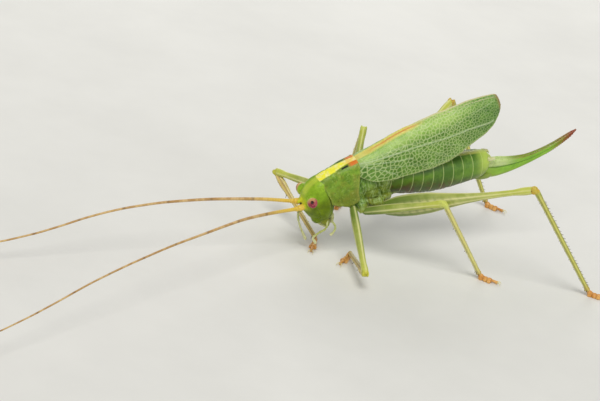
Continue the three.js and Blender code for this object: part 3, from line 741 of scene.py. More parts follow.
# %% Pronotum finish
def pronotum_finish():
    f = Finish("pronotum_skin", roughness=0.48, glow=0.2, gloss=0.1)
    s, w, u = f.body_place()
    side = f.math("ABSOLUTE", w)
    f.tone = f.patches("5f8616", "82a62c", 2600.0, 0.35, 0.65)
    f.coat("6b7c14", f.mottle(700.0, 0.5, 0.7), 0.45)
    f.coat("6e8016", f.band(u, 0.2, -1.3))
    f.coat("8c8a26", f.mottle(1500.0, 0.48, 0.62), 0.4)
    f.coat("a9c060", f.mottle(3300.0, 0.54, 0.66), 0.4)
    f.coat("46620e", f.flecks(5200.0, 0.12), 0.5)
    f.coat("9c9a48", f.band(s, 1.0, 0.6), f.band(u, 1.0, 0.2), 0.3)  # rear hem
    yellow = f.blend(f.band(s, 1.1, 0.5), paint("f8f33a"), paint("f0d264"))
    # the line's own yellow, with pale mottled patches laid in as painted highlights
    yellow = f.blend(f.times(f.mottle(1900.0, 0.46, 0.62), 0.6), yellow, paint("fbf8b4"))
    reach = f.band(s, 0.4, 2.6, 0.24, 0.38)
    f.coat(yellow, f.band(f.math("SUBTRACT", side, reach), 0.05, -0.05))  # line along the back
    f.coat("e0701a", f.band(s, 0.75, 0.35), f.window(side, 0.2, 0.27, 0.52, 0.6), 0.92)  # orange marks
    f.coat("16140a", f.window(s, 0.64, 0.76, 1.24, 1.36), f.window(side, 0.35, 0.39, 0.48, 0.53))  # dashes
    f.coat("2c4a10", f.flecks(2800.0, 0.09), f.band(side, 0.3, 0.5), 0.75)
    f.coat("c0c462", f.attribute("rim"), 0.12)
    return f.finish(5600.0, 1.1, 0.65)


# %% Thorax and abdomen finishes
def thorax_finish():
    f = Finish("thorax_skin", roughness=0.42, glow=0.2, gloss=0.2, shine=0.22)
    u = f.body_place()[2]
    f.tone = f.patches("4c7814", "709a2c", 1000.0)
    f.coat(f.patches("5e7016", "7c8e2a", 1500.0), f.mottle(500.0, 0.36, 0.56), f.band(u, -0.4, -1.5))
    f.coat("96a03a", f.band(u, -2.1, -2.8), 0.8)
    f.coat("a05c26", f.mottle(1700.0, 0.55, 0.7), f.band(u, -1.6, -2.4), 0.35)
    f.coat("33580c", f.attribute("fold"), 0.6)
    f.coat("b4cc7c", f.attribute("swell"), 0.24)
    f.coat("b8d08c", f.attribute("streak"), 0.5)
    f.coat("b4d088", f.mottle(2600.0, 0.52, 0.6), f.band(u, 0.2, -0.5), 0.4)
    return f.finish(8000.0, 0.7, 0.35)


def abdomen_finish():
    f = Finish("abdomen_skin", roughness=0.42, glow=0.2, gloss=0.2)
    s, w, u = f.body_place()
    phase, lap = f.attribute("phase"), f.attribute("lap")
    # the abdomen's own green, painted darker as the shade that the wings cast over it
    f.tone = f.patches("466e14", "648c28", 800.0)
    # painted shade: darker toward the belly
    f.coat("48561a", f.band(u, 0.2, -1.2), 0.85)
    f.coat("5c3a18", f.mottle(1300.0, 0.44, 0.6), f.band(u, -0.1, -1.0), f.band(s, -11.4, -10.6, 0.0, 0.7))
    f.coat("bccb7e", f.band(phase, 0.85, 0.93), lap, f.mottle(1100.0, 0.2, 0.5), 0.65)  # rear margins
    f.coat("47701a", f.band(phase, 0.09, 0.0), 0.55)  # joins
    f.coat("dcd860", f.band(f.math("ABSOLUTE", w), 0.34, 0.2), f.band(u, 0.2, 0.8), 0.55)  # back line
    f.coat("bcd25c", f.band(s, -10.2, -11.4), f.band(u, -0.5, 0.9, 0.45, 1.0), 0.8)  # tail
    return f.finish(7000.0, 0.6, 0.3)


HEAD_SKIN, PRONOTUM_SKIN = head_finish(), pronotum_finish()
THORAX_SKIN, ABDOMEN_SKIN = thorax_finish(), abdomen_finish()
print("body finishes:", HEAD_SKIN.name, PRONOTUM_SKIN.name, THORAX_SKIN.name, ABDOMEN_SKIN.name)

# %% [markdown]
# ## Head
# The head hangs chin down. It is one hard capsule with soft swellings: a blunt horn between the
# feelers, a ring round each feeler's root, a rim round each eye and two full cheeks. Melting closed
# shapes into one skin gives those soft joins, and grooves are then pressed in point by point.

# %% Head measures
HEAD_LEVELS = [  # u, front s, rear s, half-width
    [-2.72, 4.2, 3.3, 0.6], [-2.5, 4.44, 2.94, 0.84], [-2.1, 4.74, 2.64, 1.0], [-1.6, 5.0, 2.46, 1.1],
    [-1.0, 5.18, 2.34, 1.14], [-0.55, 5.24, 2.28, 1.14], [-0.1, 5.14, 2.26, 1.12], [0.35, 4.9, 2.28, 1.08],
    [0.75, 4.6, 2.36, 0.98], [1.08, 4.14, 2.52, 0.78], [1.26, 3.74, 2.6, 0.52], [1.34, 3.4, 2.75, 0.3],
]
HORN = (4.1, 0, 0.25), (5.46, 0, -0.16), [0.4, 0.42, 0.34, 0.24, 0.16, 0.1]
KNOB = (5.3, 0, -0.6), (0.1, 0.1, 0.15)
HEAD_LUMPS = [  # centre and radii, on each side: feeler ring, eye rim, cheek, jaw muscle
    ((5.04, 0.42, -0.54), (0.24, 0.33, 0.33)), ((4.52, 0.93, 0.12), (0.5, 0.42, 0.56)),
    ((3.75, 0.68, -1.35), (0.95, 0.5, 1.05)), ((4.3, 0.45, -2.1), (0.5, 0.5, 0.6)),
]
HEAD_GROOVES = [  # two ends in s and u, width, depth, on the flanks
    [(4.38, -0.42), (4.22, -1.3), 0.06, 0.035], [(4.22, -1.3), (4.1, -2.4), 0.06, 0.04],
    [(3.05, 0.9), (2.86, -0.6), 0.09, 0.04], [(2.86, -0.6), (3.25, -2.3), 0.09, 0.05],
]
FEELER_SOCKET = (5.2, 0.43, -0.52)
EYE_RADII = np.array([0.42, 0.46, 0.48])
HEAD_VOXEL = 0.036


# %% Head capsule
def hanging_block(levels, middle=0.0, power=2.3, around=28, steps=26):
    """A tapering block hung from the head. Levels are u, front s, rear s, half-width."""
    u = np.linspace(levels[0][0], levels[-1][0], steps)
    front, back, half = (column[:, None] for column in flow(u, levels).T)
    angle = angles(around)
    s = (front + back) / 2 + rounded_power(np.cos(angle), power) * ((front - back) / 2)
    w = middle + rounded_power(np.sin(angle), power) * half
    return tube(np.stack([s, w, u[:, None] + 0 * s], axis=-1))


def sculpted_head():
    lumps = [hanging_block(HEAD_LEVELS, 0, 2.25, 72, 64), peg(*HORN), ball(*KNOB), *side_balls(HEAD_LUMPS)]
    points, faces = fused(lumps, HEAD_VOXEL, 5)
    s, w, u = points.T
    press = np.zeros(len(points))
    for start, end, width, depth in HEAD_GROOVES:
        groove = hump(distance_to_line(points[:, [0, 2]], start, end), 0, width)
        press += depth * rise(np.abs(w), 0.45, 0.2) * groove
    press += 0.04 * hump(u, -2.2 + 0.35 * w * w, 0.05) * (s > 4.1)  # over the clypeus
    press += 0.025 * hump(w, 0, 0.05) * rise(u, 0.2, 0.5) * (s < 4.6)  # along the crown
    for _, sign in BOTH_SIDES:
        socket = np.linalg.norm(points - mirrored(FEELER_SOCKET, sign), axis=1)
        seat = np.linalg.norm((points - mirrored(EYE_AT, sign)) / EYE_RADII, axis=1)
        press += 0.07 * hump(socket, 0, 0.17) + 0.05 * hump(seat, 1.02, 0.1)
    return points - outward(points, faces) * press[:, None], faces


head_points, head_faces = sculpted_head()
add_piece("head_capsule", (trunk.at(*head_points.T), head_faces), HEAD_SKIN, "green_skin", ["head"],
          place=head_points)

# %% [markdown]
# ## Eyes
# A grasshopper's eye is a bulging cushion of thousands of lenses. A lens is a tiny dome, and a
# Geometry Nodes tree sets one on every point of a finely divided ball. The dark spot in the eye, where
# one looks straight down the lenses, is kept as an attribute that the finish reads.

# %% Eye finish and tree
PUPIL_TOWARD = np.array([0.21, 0.71, 0.67])
LENS_RADIUS, LENS_RISE = 0.0000195, 0.012


def eye_finish():
    f = Finish("compound_eye", roughness=0.22, glow=0.1, gloss=0.8, glow_depth=0.0001, coat_roughness=0.08)
    f.tone = f.patches("a02c40", "c45c66", 3500.0)
    f.coat("d9a86a", f.band(f.attribute("upper"), 0.35, 0.95))
    f.coat("d8c486", f.attribute("girdle"), 0.8)
    f.coat("2a0a0c", f.band(f.attribute("pupil"), 0.25, 0.7))
    return f.finish(16000.0, 0.2, 0.1)


def lens_tree():
    w, put_in, take = grow_tree("lenses", Lens_radius=0.00002)
    cushion = put_in.outputs["Geometry"]
    dome = w.node("GeometryNodeMeshIcoSphere", {"Radius": put_in.outputs["Lens radius"], "Subdivisions": 1})
    sown = w.node("GeometryNodeInstanceOnPoints", {"Points": cushion, "Instance": dome.outputs["Mesh"]})
    real = w.node("GeometryNodeRealizeInstances", {"Geometry": sown.outputs["Instances"]})
    both = w.node("GeometryNodeJoinGeometry")
    for part in (real.outputs["Geometry"], cushion):
        w.tree.links.new(part, both.inputs["Geometry"])
    smooth = w.node("GeometryNodeSetShadeSmooth", {"Geometry": both.outputs["Geometry"]})
    return coat_and_close(w, put_in, take, smooth.outputs["Geometry"])


EYE_FINISH, LENSES = eye_finish(), lens_tree()


# %% Eyes
def fine_ball(rank):
    """Evenly spread points and triangles of a ball of radius 1."""
    shape = bmesh.new()
    bmesh.ops.create_icosphere(shape, subdivisions=rank, radius=1)
    points = np.array([v.co[:] for v in shape.verts])
    faces = [tuple(v.index for v in f.verts) for f in shape.faces]
    shape.free()
    return points, faces


def build_eye(side, sign):
    centre = mirrored(EYE_AT, sign)
    points, faces = fine_ball(5)
    cushion = make_piece("eye_ball", trunk.at(*(points * (EYE_RADII - LENS_RISE) + centre).T), faces)
    piece = grown(f"compound_eye_{side}", cushion.data, LENSES, Finish=EYE_FINISH, Lens_radius=LENS_RADIUS)
    bpy.data.objects.remove(cushion)
    facing = unit((trunk.read(read_points(piece.data) / MM) - centre) / EYE_RADII)
    mark(piece.data, pupil=hump(1 - facing @ unit(PUPIL_TOWARD / EYE_RADII), 0, 0.055), upper=facing[:, 2],
         girdle=hump(facing[:, 1] * sign, 0.02, 0.16))
    settle(piece, "eye", [f"eye_{side}"])


for side, sign in BOTH_SIDES:
    build_eye(side, sign)

# %% [markdown]
# ## Mouth
# Below the face hang a clypeus and labrum in front, a jaw on each side, and a labium behind, with four
# bent palps that taste the food. They are small closed shapes; each is fused on its own, so that the
# lines between them stay open as they are on the insect.


# %% Mouth finish
def pale_finish():
    f = Finish("pale_skin", roughness=0.4, glow=0.25, gloss=0.25)
    f.tone = f.patches("a4ac5c", "c8cd94", 1400.0)
    f.coat("e2deb4", f.attribute("tip"), 0.7)
    return f.finish(12000.0, 0.5, 0.2)


PALE_SKIN = pale_finish()

# %% Mouth plates and jaws
CLYPEUS = [[-2.3, 4.72, 4.0, 0.46], [-2.6, 4.6, 3.9, 0.52], [-2.78, 4.46, 3.9, 0.5], [-2.84, 4.4, 3.9, 0.42]]
LABRUM = [[-2.78, 4.38, 3.95, 0.36], [-2.95, 4.36, 3.85, 0.48], [-3.25, 4.2, 3.78, 0.48],
          [-3.5, 4.0, 3.72, 0.36], [-3.6, 3.92, 3.76, 0.2]]
JAW = [[-2.3, 4.16, 3.3, 0.26], [-2.7, 4.12, 3.28, 0.32], [-3.1, 3.98, 3.32, 0.3], [-3.4, 3.8, 3.4, 0.22],
       [-3.56, 3.7, 3.5, 0.1]]
LABIUM = [[-2.2, 3.2, 2.82, 0.5], [-2.7, 3.22, 2.76, 0.62], [-3.2, 3.26, 2.86, 0.54], [-3.5, 3.3, 2.94, 0.42],
          [-3.64, 3.3, 3.04, 0.26]]
MOUTH_PIECES = (  # piece, node, slot, finish, blocks with how far to the left each hangs
    ("clypeus_and_labrum", "clypeus_labrum", "yellow_skin", PALE_SKIN, ((CLYPEUS, 0), (LABRUM, 0))),
    ("labium_plate", "labium", "pale_skin", PALE_SKIN, ((LABIUM, 0),)),
    ("mandible_left_jaw", "mandible_left", "pale_skin", HEAD_SKIN, ((JAW, 0.44),)),
    ("mandible_right_jaw", "mandible_right", "pale_skin", HEAD_SKIN, ((JAW, -0.44),)),
)
FINE_VOXEL = 0.03

for name, node, slot, finish, blocks in MOUTH_PIECES:
    points, faces = fused([hanging_block(*block) for block in blocks], FINE_VOXEL, 3)
    tip = np.clip((-3.1 - points[:, 2]) / 0.4, 0, 1)
    add_piece(name, (trunk.at(*points.T), faces), finish, slot, [node], tip=tip, place=points)

# %% Palps
LABIAL_PALP = [(3.1, 0.3, -3.4), (2.95, 0.58, -3.9), (3.25, 0.66, -4.34), (3.62, 0.6, -4.52)]
PALP_PATHS = {
    "palp_maxillary_left": [(3.5, 0.62, -2.75), (3.9, 0.95, -3.3), (4.6, 0.84, -3.5), (5.14, 0.7, -3.82),
                            (5.0, 0.7, -4.6)],
    "palp_maxillary_right": [(3.5, -0.62, -2.75), (4.3, -1.12, -2.4), (5.4, -0.72, -1.84),
                             (5.58, -0.64, -2.8), (5.38, -0.6, -5.0)],
    "palp_labial_left": LABIAL_PALP,
    "palp_labial_right": [mirrored(knot, -1) for knot in LABIAL_PALP],
}
BEND_LENGTH = 0.1


def build_palp(name, knots):
    """A cord of straight lengths with a narrow seam and a small swelling at each bend."""
    knots = np.array(knots)
    bent = [knots[0]]
    for before, knee, after in zip(knots, knots[1:], knots[2:]):
        bent += [knee + BEND_LENGTH * unit(before - knee), knee + BEND_LENGTH * unit(after - knee)]
    lengths = np.linalg.norm(np.diff(knots, axis=0), axis=1)
    t = np.linspace(0, 1, 110)
    radius = 0.08 + 0.012 * t + 0.03 * rise(t, 0.75, 0.22)
    for seam in np.cumsum(lengths)[:-1] / lengths.sum():
        radius = radius * (1 - 0.38 * hump(t, seam, 0.018)) * (1 + 0.2 * hump(t, seam - 0.04, 0.03))
    radius = radius * np.sqrt(np.clip((1 - t) / 0.04, 0, 1)) + 0.004
    points, faces = tube(sweep_rings(path_points(bent + [knots[-1]], len(t)), radius, 16))
    add_piece(name + "_cord", (trunk.at(*points.T), faces), PALE_SKIN, "pale_skin", [name],
              tip=tube_values(rise(t, 0.5, 0.5), 16))


for name, knots in PALP_PATHS.items():
    build_palp(name, knots)

# %% [markdown]
# ## Pronotum
# The pronotum is a saddle of stiff skin over the neck and shoulders. It is a sheet bent across the
# back, so it is shaped as a grid of points from lobe to lobe and given a real thickness. Its edges are
# thickened to a rim and two shallow furrows cross it, as the muscles beneath pull it in.

# %% Pronotum saddle
PRONOTUM_ROWS = [  # s, top u, half-width, shoulder share, lower edge u
    [3.36, 1.2, 1.0, 0.56, -0.3], [3.2, 1.28, 1.06, 0.56, -0.62], [2.7, 1.4, 1.12, 0.56, -1.2],
    [2.1, 1.46, 1.17, 0.56, -1.62], [1.5, 1.51, 1.21, 0.56, -1.86], [0.9, 1.56, 1.24, 0.56, -1.8],
    [0.4, 1.58, 1.25, 0.58, -1.4], [0.1, 1.57, 1.25, 0.6, -1.0], [-0.14, 1.54, 1.24, 0.62, -0.6],
]
PRONOTUM_THICKNESS = 0.1


def saddle_grid(rows=150, columns=220):
    x, v = np.linspace(0, 1, rows)[:, None], np.linspace(-1, 1, columns)[None]
    t = np.abs(v)
    # on the flanks both margins draw in to the middle, which leaves room for the cheek and the wing root
    draw_in = rise(t, 0.3, 0.6) ** 2
    front, back = PRONOTUM_ROWS[0][0] - 0.42 * draw_in, PRONOTUM_ROWS[-1][0] + 0.78 * draw_in
    s = front + (back - front) * x
    top, half, shoulder, low = np.moveaxis(flow(s, PRONOTUM_ROWS), -1, 0)
    # the sheet's cross-section: flat over the back, round the shoulder, then down the lobe
    w = 3 * (1 - t) ** 2 * t * half * shoulder + (3 * (1 - t) * t ** 2 + t ** 3 * 0.97) * half
    u = ((1 - t) ** 3 + 3 * (1 - t) ** 2 * t) * top + 3 * (1 - t) * t ** 2 * (top - 0.36) + t ** 3 * low
    return np.stack([s, w * np.sign(v), u], axis=-1), x, t


def build_pronotum():
    grid, x, t = saddle_grid()
    s, w, u = grid[..., 0], np.abs(grid[..., 1]), grid[..., 2]
    rim = hump(np.minimum((1 - t) * 2.6, np.minimum(x, 1 - x) * 3.5), 0.06, 0.07)
    swell = 0.03 * rim
    swell -= 0.05 * hump(s, 2.55 - 0.35 * w, 0.1) * np.clip(1.3 - t, 0, 1)  # front furrow
    swell -= 0.045 * hump(s, 1.75 + 0.3 * w, 0.11) * rise(w, 0.2, 0.3)  # rear furrow
    swell -= 0.03 * hump(w, 0, 0.06) * (s < 2.9)  # middle line
    swell += 0.05 * hump(s, 1.0, 0.5) * hump(w, 0.75, 0.35) * (u > 0.6)  # shoulders
    swell -= 0.05 * hump(s, 1.5, 0.35) * hump(u, -0.5, 0.4)
    swell += 0.04 * hump(s, 2.3, 0.3) * hump(u, -0.2, 0.5)
    grid = grid + grid_normal(grid, 2) * swell[..., None]
    points, faces = shell(grid, PRONOTUM_THICKNESS)
    add_piece("pronotum_saddle", (trunk.at(*points.T), faces), PRONOTUM_SKIN, "green_skin", ["pronotum"],
              place=np.tile(grid.reshape(-1, 3), (2, 1)), rim=np.tile(rim.ravel(), 2))


build_pronotum()

# %% [markdown]
# ## Thorax and hip joints
# Behind the pronotum the thorax is a soft-edged box packed with flight and leg muscle. Its flanks are
# plates with deep slanting seams between them, and a short thick coxa stands out for each leg. The
# box, its swellings and the six coxae are melted together and the seams pressed in afterwards.

# %% Thorax measures
THORAX_ROWS = [  # s, centre u, half-width, over, under
    [2.9, -0.55, 0.62, 0.85, 0.82], [2.6, -0.55, 0.8, 1.1, 1.05], [1.9, -0.6, 0.96, 1.5, 1.35],
    [1.1, -0.7, 1.06, 1.7, 1.72], [0.3, -0.8, 1.14, 1.9, 2.1], [-0.6, -0.95, 1.18, 1.95, 2.34],
    [-1.5, -1.1, 1.2, 1.95, 2.4], [-2.4, -1.3, 1.2, 1.85, 2.25], [-3.1, -1.5, 1.14, 1.7, 1.85],
    [-3.5, -1.6, 0.9, 1.3, 1.4],
]
HIPS = {  # where each leg leaves the body: coxa root, hip point, thickness
    "front_left": [(1.3, 0.5, -1.7), (1.28, 1.04, -2.2), 0.45],
    "front_right": [(1.45, -0.5, -1.7), (1.57, -1.02, -2.17), 0.45],
    "mid_left": [(0.45, 0.6, -2.3), (0.6, 1.22, -3.06), 0.5],
    "mid_right": [(0.4, -0.6, -2.3), (0.49, -1.16, -3.06), 0.5],
    "hind_left": [(-0.95, 0.75, -2.7), (-0.9, 1.34, -3.5), 0.6],
    "hind_right": [(-0.9, -0.75, -2.7), (-0.83, -1.39, -3.49), 0.6],
}
COXA_OUTLINE = (1, 1.3, 1.15, 0.8, 0.5)
FLANK_SEAMS = [  # two ends in s and u, width, depth
    [(1.25, -0.2), (0.95, -2.5), 0.11, 0.09], [(0.35, 0.3), (-0.1, -2.9), 0.11, 0.1],
    [(-0.35, 0.2), (0.1, -1.7), 0.08, 0.07], [(-1.0, 0.1), (-1.5, -3.2), 0.12, 0.1],
    [(-1.75, 0.0), (-1.35, -1.9), 0.08, 0.07], [(-2.4, -0.2), (-2.3, -3.2), 0.1, 0.08],
    [(0.7, -1.2), (-2.2, -1.7), 0.07, 0.05], [(2.1, -0.6), (1.7, -2.0), 0.1, 0.07],
    [(0.9, -2.0), (-1.6, -2.6), 0.07, 0.05],
]
FLANK_SWELLS = [  # centre s, u, reach, height
    (0.55, -1.1, 0.35, 0.07), (-0.65, -0.9, 0.35, 0.08), (-1.9, -1.3, 0.4, 0.08), (0.35, -2.2, 0.35, 0.07),
    (-0.8, -2.4, 0.4, 0.07), (1.5, -1.2, 0.3, 0.05), (-0.1, -0.3, 0.3, 0.05), (-2.7, -2.2, 0.4, 0.05),
]
DEEPEST_SEAM, HIGHEST_SWELL = 0.1, 0.08
FLESH_UNDER_FLANKS = [  # centre and radii, on each side
    ((-0.15, 0.72, -2.75), (0.7, 0.42, 0.5)), ((-1.75, 0.7, -2.9), (0.8, 0.45, 0.55)),
    ((-2.7, 0.6, -2.6), (0.7, 0.5, 0.6)), ((1.3, 0.66, -1.9), (0.6, 0.4, 0.5)),
    ((0.55, 0.95, -2.85), (0.42, 0.3, 0.42)), ((-0.95, 1.02, -3.25), (0.5, 0.34, 0.48)),
]
THORAX_VOXEL = 0.045


# %% Thorax
def coxa_peg(root, hip, thick):
    root, hip = np.array(root), np.array(hip)
    return peg(root, hip + 0.1 * unit(hip - root), [thick * share for share in COXA_OUTLINE])


def build_thorax():
    box = tube(body_rings(np.linspace(2.9, -3.5, 90), THORAX_ROWS, 64, 2.15))
    coxae = [coxa_peg(*hip) for hip in HIPS.values()]
    points, faces = fused([box, *coxae, *side_balls(FLESH_UNDER_FLANKS)], THORAX_VOXEL, 4)
    s, w, u = points.T
    flank = rise(np.abs(w), 0.35, 0.35)
    fold, swell = np.zeros(len(points)), np.zeros(len(points))
    for start, end, width, depth in FLANK_SEAMS:
        gap = distance_to_line(points[:, [0, 2]], start, end)
        fold = np.maximum(fold, hump(gap, 0, width) * depth / DEEPEST_SEAM)
    for cs, cu, reach, height in FLANK_SWELLS:
        swell += hump(np.hypot(s - cs, u - cu), 0, reach) * height / HIGHEST_SWELL
    ripple = 0.012 * np.sin(s * 17 + 5 * np.sin(u * 4)) * flank
    lift = (HIGHEST_SWELL * swell - DEEPEST_SEAM * fold) * flank + ripple
    points = points + outward(points, faces) * lift[:, None]
    s, _, u = points.T
    lines = np.clip(1.5 * np.sin(26 * (s + 0.34 * u + 0.1 * np.sin(4 * u))) - 0.6, 0, 1)
    streak = lines * np.clip(np.sin(6 * s + 4 * u) + 0.7, 0, 1)
    add_piece("thorax_and_coxae", (trunk.at(*points.T), faces), THORAX_SKIN, "green_skin",
              ["thorax", *[f"coxa_{leg}" for leg in HIPS]], place=points,
              fold=fold * flank, swell=swell * flank * (1 - fold), streak=streak * flank)


build_thorax()

# %% [markdown]
# ## Abdomen
# The abdomen is a plump tube of ten rings. Each ring's back plate ends in a pale margin that laps over
# the next, so the outline steps very slightly, and a soft pleated strip runs low along each side.
# One long tube with a sawtooth of height along it gives all the laps at once.

# %% Abdomen tube
ABDOMEN_ROWS = [  # s, centre u, half-width, over, under
    [-2.0, -0.62, 0.95, 1.1, 1.1], [-2.4, -0.62, 1.18, 1.36, 1.36], [-3.4, -0.6, 1.32, 1.52, 1.52],
    [-4.8, -0.58, 1.4, 1.6, 1.6], [-6.4, -0.54, 1.42, 1.62, 1.62], [-7.9, -0.42, 1.38, 1.56, 1.52],
    [-9.3, -0.22, 1.3, 1.46, 1.38], [-10.4, -0.04, 1.2, 1.38, 1.24], [-11.1, 0.04, 1.08, 1.34, 1.14],
    [-11.6, 0.14, 0.94, 1.2, 1.0], [-11.95, 0.26, 0.66, 0.86, 0.76], [-12.1, 0.36, 0.34, 0.46, 0.5],
]
RING_SPACING, FIRST_RING = 0.97, -2.42
STRIP_HEIGHT = -0.72


def ring_phase(s, angle):
    """How far along its own ring a point lies, 0 at the front and 1 at the rear margin."""
    return np.mod((FIRST_RING - s + 0.12 * np.sin(angle)) / RING_SPACING, 1.0)


def side_share(angle):
    """1 over the back plates, 0 on the soft strip and the belly."""
    return np.clip((np.sin(angle) + 0.62) / 0.1, 0, 1)


def abdomen_swell(s, angle):
    phase, back, height = ring_phase(s, angle), side_share(angle), np.sin(angle)
    lap = 0.012 + 0.05 * phase * np.clip((1 - phase) / 0.05, 0, 1)
    belly = 0.035 * np.sin(np.pi * phase) ** 0.7
    pleats = 0.02 * np.sin(phase * 6 * np.pi) * hump(height, STRIP_HEIGHT, 0.1)
    return lap * back + belly * (1 - back) - 0.07 * hump(height, STRIP_HEIGHT, 0.09) + pleats


ABDOMEN_START, ABDOMEN_END, ABDOMEN_AROUND = -2.0, -12.06, 112


def build_abdomen():
    s = np.linspace(ABDOMEN_START, ABDOMEN_END, 420)
    points, faces = tube(body_rings(s, ABDOMEN_ROWS, ABDOMEN_AROUND, 2.05, abdomen_swell))
    grid_s, grid_a = np.broadcast_arrays(s[:, None], angles(ABDOMEN_AROUND, 0.5))
    add_piece("abdomen_rings", (rear.at(*points.T), faces), ABDOMEN_SKIN, "green_skin", ["abdomen"],
              place=points, lap=tube_values(side_share(grid_a)),
              phase=tube_values(ring_phase(grid_s, grid_a)))


build_abdomen()

# %% [markdown]
# ## Tail end
# Two short hairy cerci feel what is behind, a plate closes the belly, and the egg-layer is a sabre of
# two pairs of blades, one above the other, with fine teeth under its tip. Each blade is a flattened
# tube whose middle follows the same curve, and the teeth are cones sown by the spine tree.


# %% Tail finishes
def egg_layer_finish():
    f = Finish("egg_layer_skin", roughness=0.3, glow=0.15, gloss=0.3)
    along, up = f.attribute("along"), f.attribute("up")
    bulge = f.times(f.band(along, 0.44, 0.2), f.band(up, 0.05, 0.5))
    f.tone = f.patches("76aa1c", "90c038", 900.0, 0.35, 0.7)
    f.coat("9cb844", f.band(along, 0.3, 0.0), 0.7)
    f.coat("cfdc9c", bulge, 0.75)
    f.coat("7fa23c", f.mottle(2600.0, 0.52, 0.64), bulge, 0.5)
    f.coat("8a8a24", f.band(up, -0.4, -0.8), 0.35)
    f.coat("7c4524", f.band(up, 0.8, 0.95), f.band(along, 0.2, 0.5), 0.65)
    f.coat("8c3a0c", f.band(f.math("ADD", along, f.times(f.mottle(1500.0), 0.05)), 0.74, 0.99))  # tip
    return f.finish(7000.0, 0.4, 0.2)


def horn_finish(name, dark, light):
    f = Finish(name, roughness=0.3, gloss=0.4)
    f.tone = f.patches(dark, light, 2500.0)
    return f.finish(15000.0, 0.4, 0.2)


EGG_LAYER_SKIN = egg_layer_finish()
BROWN_HORN = horn_finish("brown_horn", "3a1a0c", "6e3418")
DARK_SPINE = horn_finish("dark_spine", "2c2410", "5c4c20")
PALE_HAIR = horn_finish("pale_hair", "a8a060", "d0c890")

# %% Egg-layer blades
EGG_LAYER_ROWS = [  # s, middle u, half-width, over, under
    [-11.7, -0.34, 0.3, 0.72, 0.82], [-12.5, -0.3, 0.38, 0.92, 0.9], [-13.2, -0.28, 0.38, 0.94, 0.87],
    [-14.2, -0.16, 0.33, 0.8, 0.76], [-15.2, 0.06, 0.28, 0.64, 0.62], [-16.2, 0.4, 0.25, 0.48, 0.5],
    [-17.2, 0.86, 0.22, 0.42, 0.43], [-18.2, 1.42, 0.2, 0.38, 0.39], [-19.1, 2.08, 0.17, 0.34, 0.36],
    [-19.8, 2.68, 0.13, 0.24, 0.32], [-20.32, 3.17, 0.05, 0.05, 0.12],
]
EGG_LAYER_START, EGG_LAYER_LENGTH = -11.7, 8.62
BLADE_GAP, LOWER_BLADE_THINNING = 0.012, 0.86


def blade(upper, sign):
    """One of the four blades: its outer face bulges, its inner face lies near the middle."""
    s = np.linspace(EGG_LAYER_START, -20.32, 170)
    middle, half, over, under = flow(s, EGG_LAYER_ROWS).T
    split = middle + 0.12 * over
    top = middle + over if upper else split - BLADE_GAP
    bottom = split + BLADE_GAP if upper else middle - under
    angle = angles(30)
    full = half[:, None] * (1.0 if upper else LOWER_BLADE_THINNING)
    out = full * rounded_power((1 + np.cos(angle)) / 2, 1.7) + 0.008
    out = out * (1 - 0.12 * hump(np.sin(angle), 0.1, 0.25))
    u = ((top + bottom) / 2)[:, None] + ((top - bottom) / 2)[:, None] * np.sin(angle)
    points, faces = tube(np.stack([s[:, None] + 0 * u, sign * out, u], axis=-1))
    up = np.clip((u - middle[:, None]) / np.maximum(over, under)[:, None], -1, 1)
    return points, faces, {"along": tube_values((EGG_LAYER_START - s) / EGG_LAYER_LENGTH, len(angle)),
                           "up": tube_values(up)}


def build_egg_layer():
    blades = [blade(upper, sign) for upper in (True, False) for _, sign in BOTH_SIDES]
    (points, faces), marks = join_marked(blades, "along", "up")
    add_piece("egg_layer_blades", (rear.at(*points.T), faces), EGG_LAYER_SKIN, "ovipositor", ["ovipositor"],
              **marks)


def sow_teeth():
    s = np.linspace(-18.0, -20.1, 15)
    middle, half, _, under = flow(s, EGG_LAYER_ROWS).T
    spots = np.concatenate([rear.at(s, sign * half * 0.35, middle - under + 0.02) for _, sign in BOTH_SIDES])
    along = np.tile((EGG_LAYER_START - s) / EGG_LAYER_LENGTH, 2)
    mesh = scatter(spots, np.tile(-rear.u - 0.35 * rear.s, (len(spots), 1)), np.full(len(spots), 0.11),
                   np.column_stack([along, np.repeat([0.2, 0.8], len(s))]))
    settle(grown("egg_layer_teeth", mesh, SPINES, Slimness=0.5, Sides=6, Finish=BROWN_HORN), "ovipositor", [])


build_egg_layer()
sow_teeth()

# %% Belly plate and cerci
TAIL_PLATES = (  # piece, nodes, rings, points round a ring, then rows like the abdomen's
    ("belly_plate", ["subgenital_plate"], 50, 40,
     [[-11.0, -0.86, 0.5, 0.3, 0.36], [-11.7, -0.9, 0.62, 0.3, 0.42], [-12.4, -0.88, 0.54, 0.26, 0.4],
      [-12.8, -0.86, 0.36, 0.2, 0.3], [-12.98, -0.84, 0.12, 0.08, 0.12]]),
    ("tail_flap", [], 24, 28,
     [[-11.3, 1.0, 0.42, 0.3, 0.3], [-11.95, 0.92, 0.4, 0.24, 0.26], [-12.35, 0.78, 0.18, 0.1, 0.14]]),
)
CERCUS_PATH = [(-11.5, 0.5, 0.8), (-11.9, 0.64, 1.0), (-12.25, 0.64, 1.0), (-12.55, 0.52, 0.8)]
CERCUS_RADII = [[0, 0.13], [0.25, 0.19], [0.6, 0.14], [0.9, 0.06], [1, 0.015]]

for name, nodes, count, around, rows in TAIL_PLATES:
    points, faces = tube(body_rings(np.linspace(rows[0][0], rows[-1][0], count), rows, around, 2.2))
    add_piece(name, (rear.at(*points.T), faces), ABDOMEN_SKIN, "green_skin", nodes,
              place=points, phase=np.full(len(points), 0.5), lap=np.zeros(len(points)))

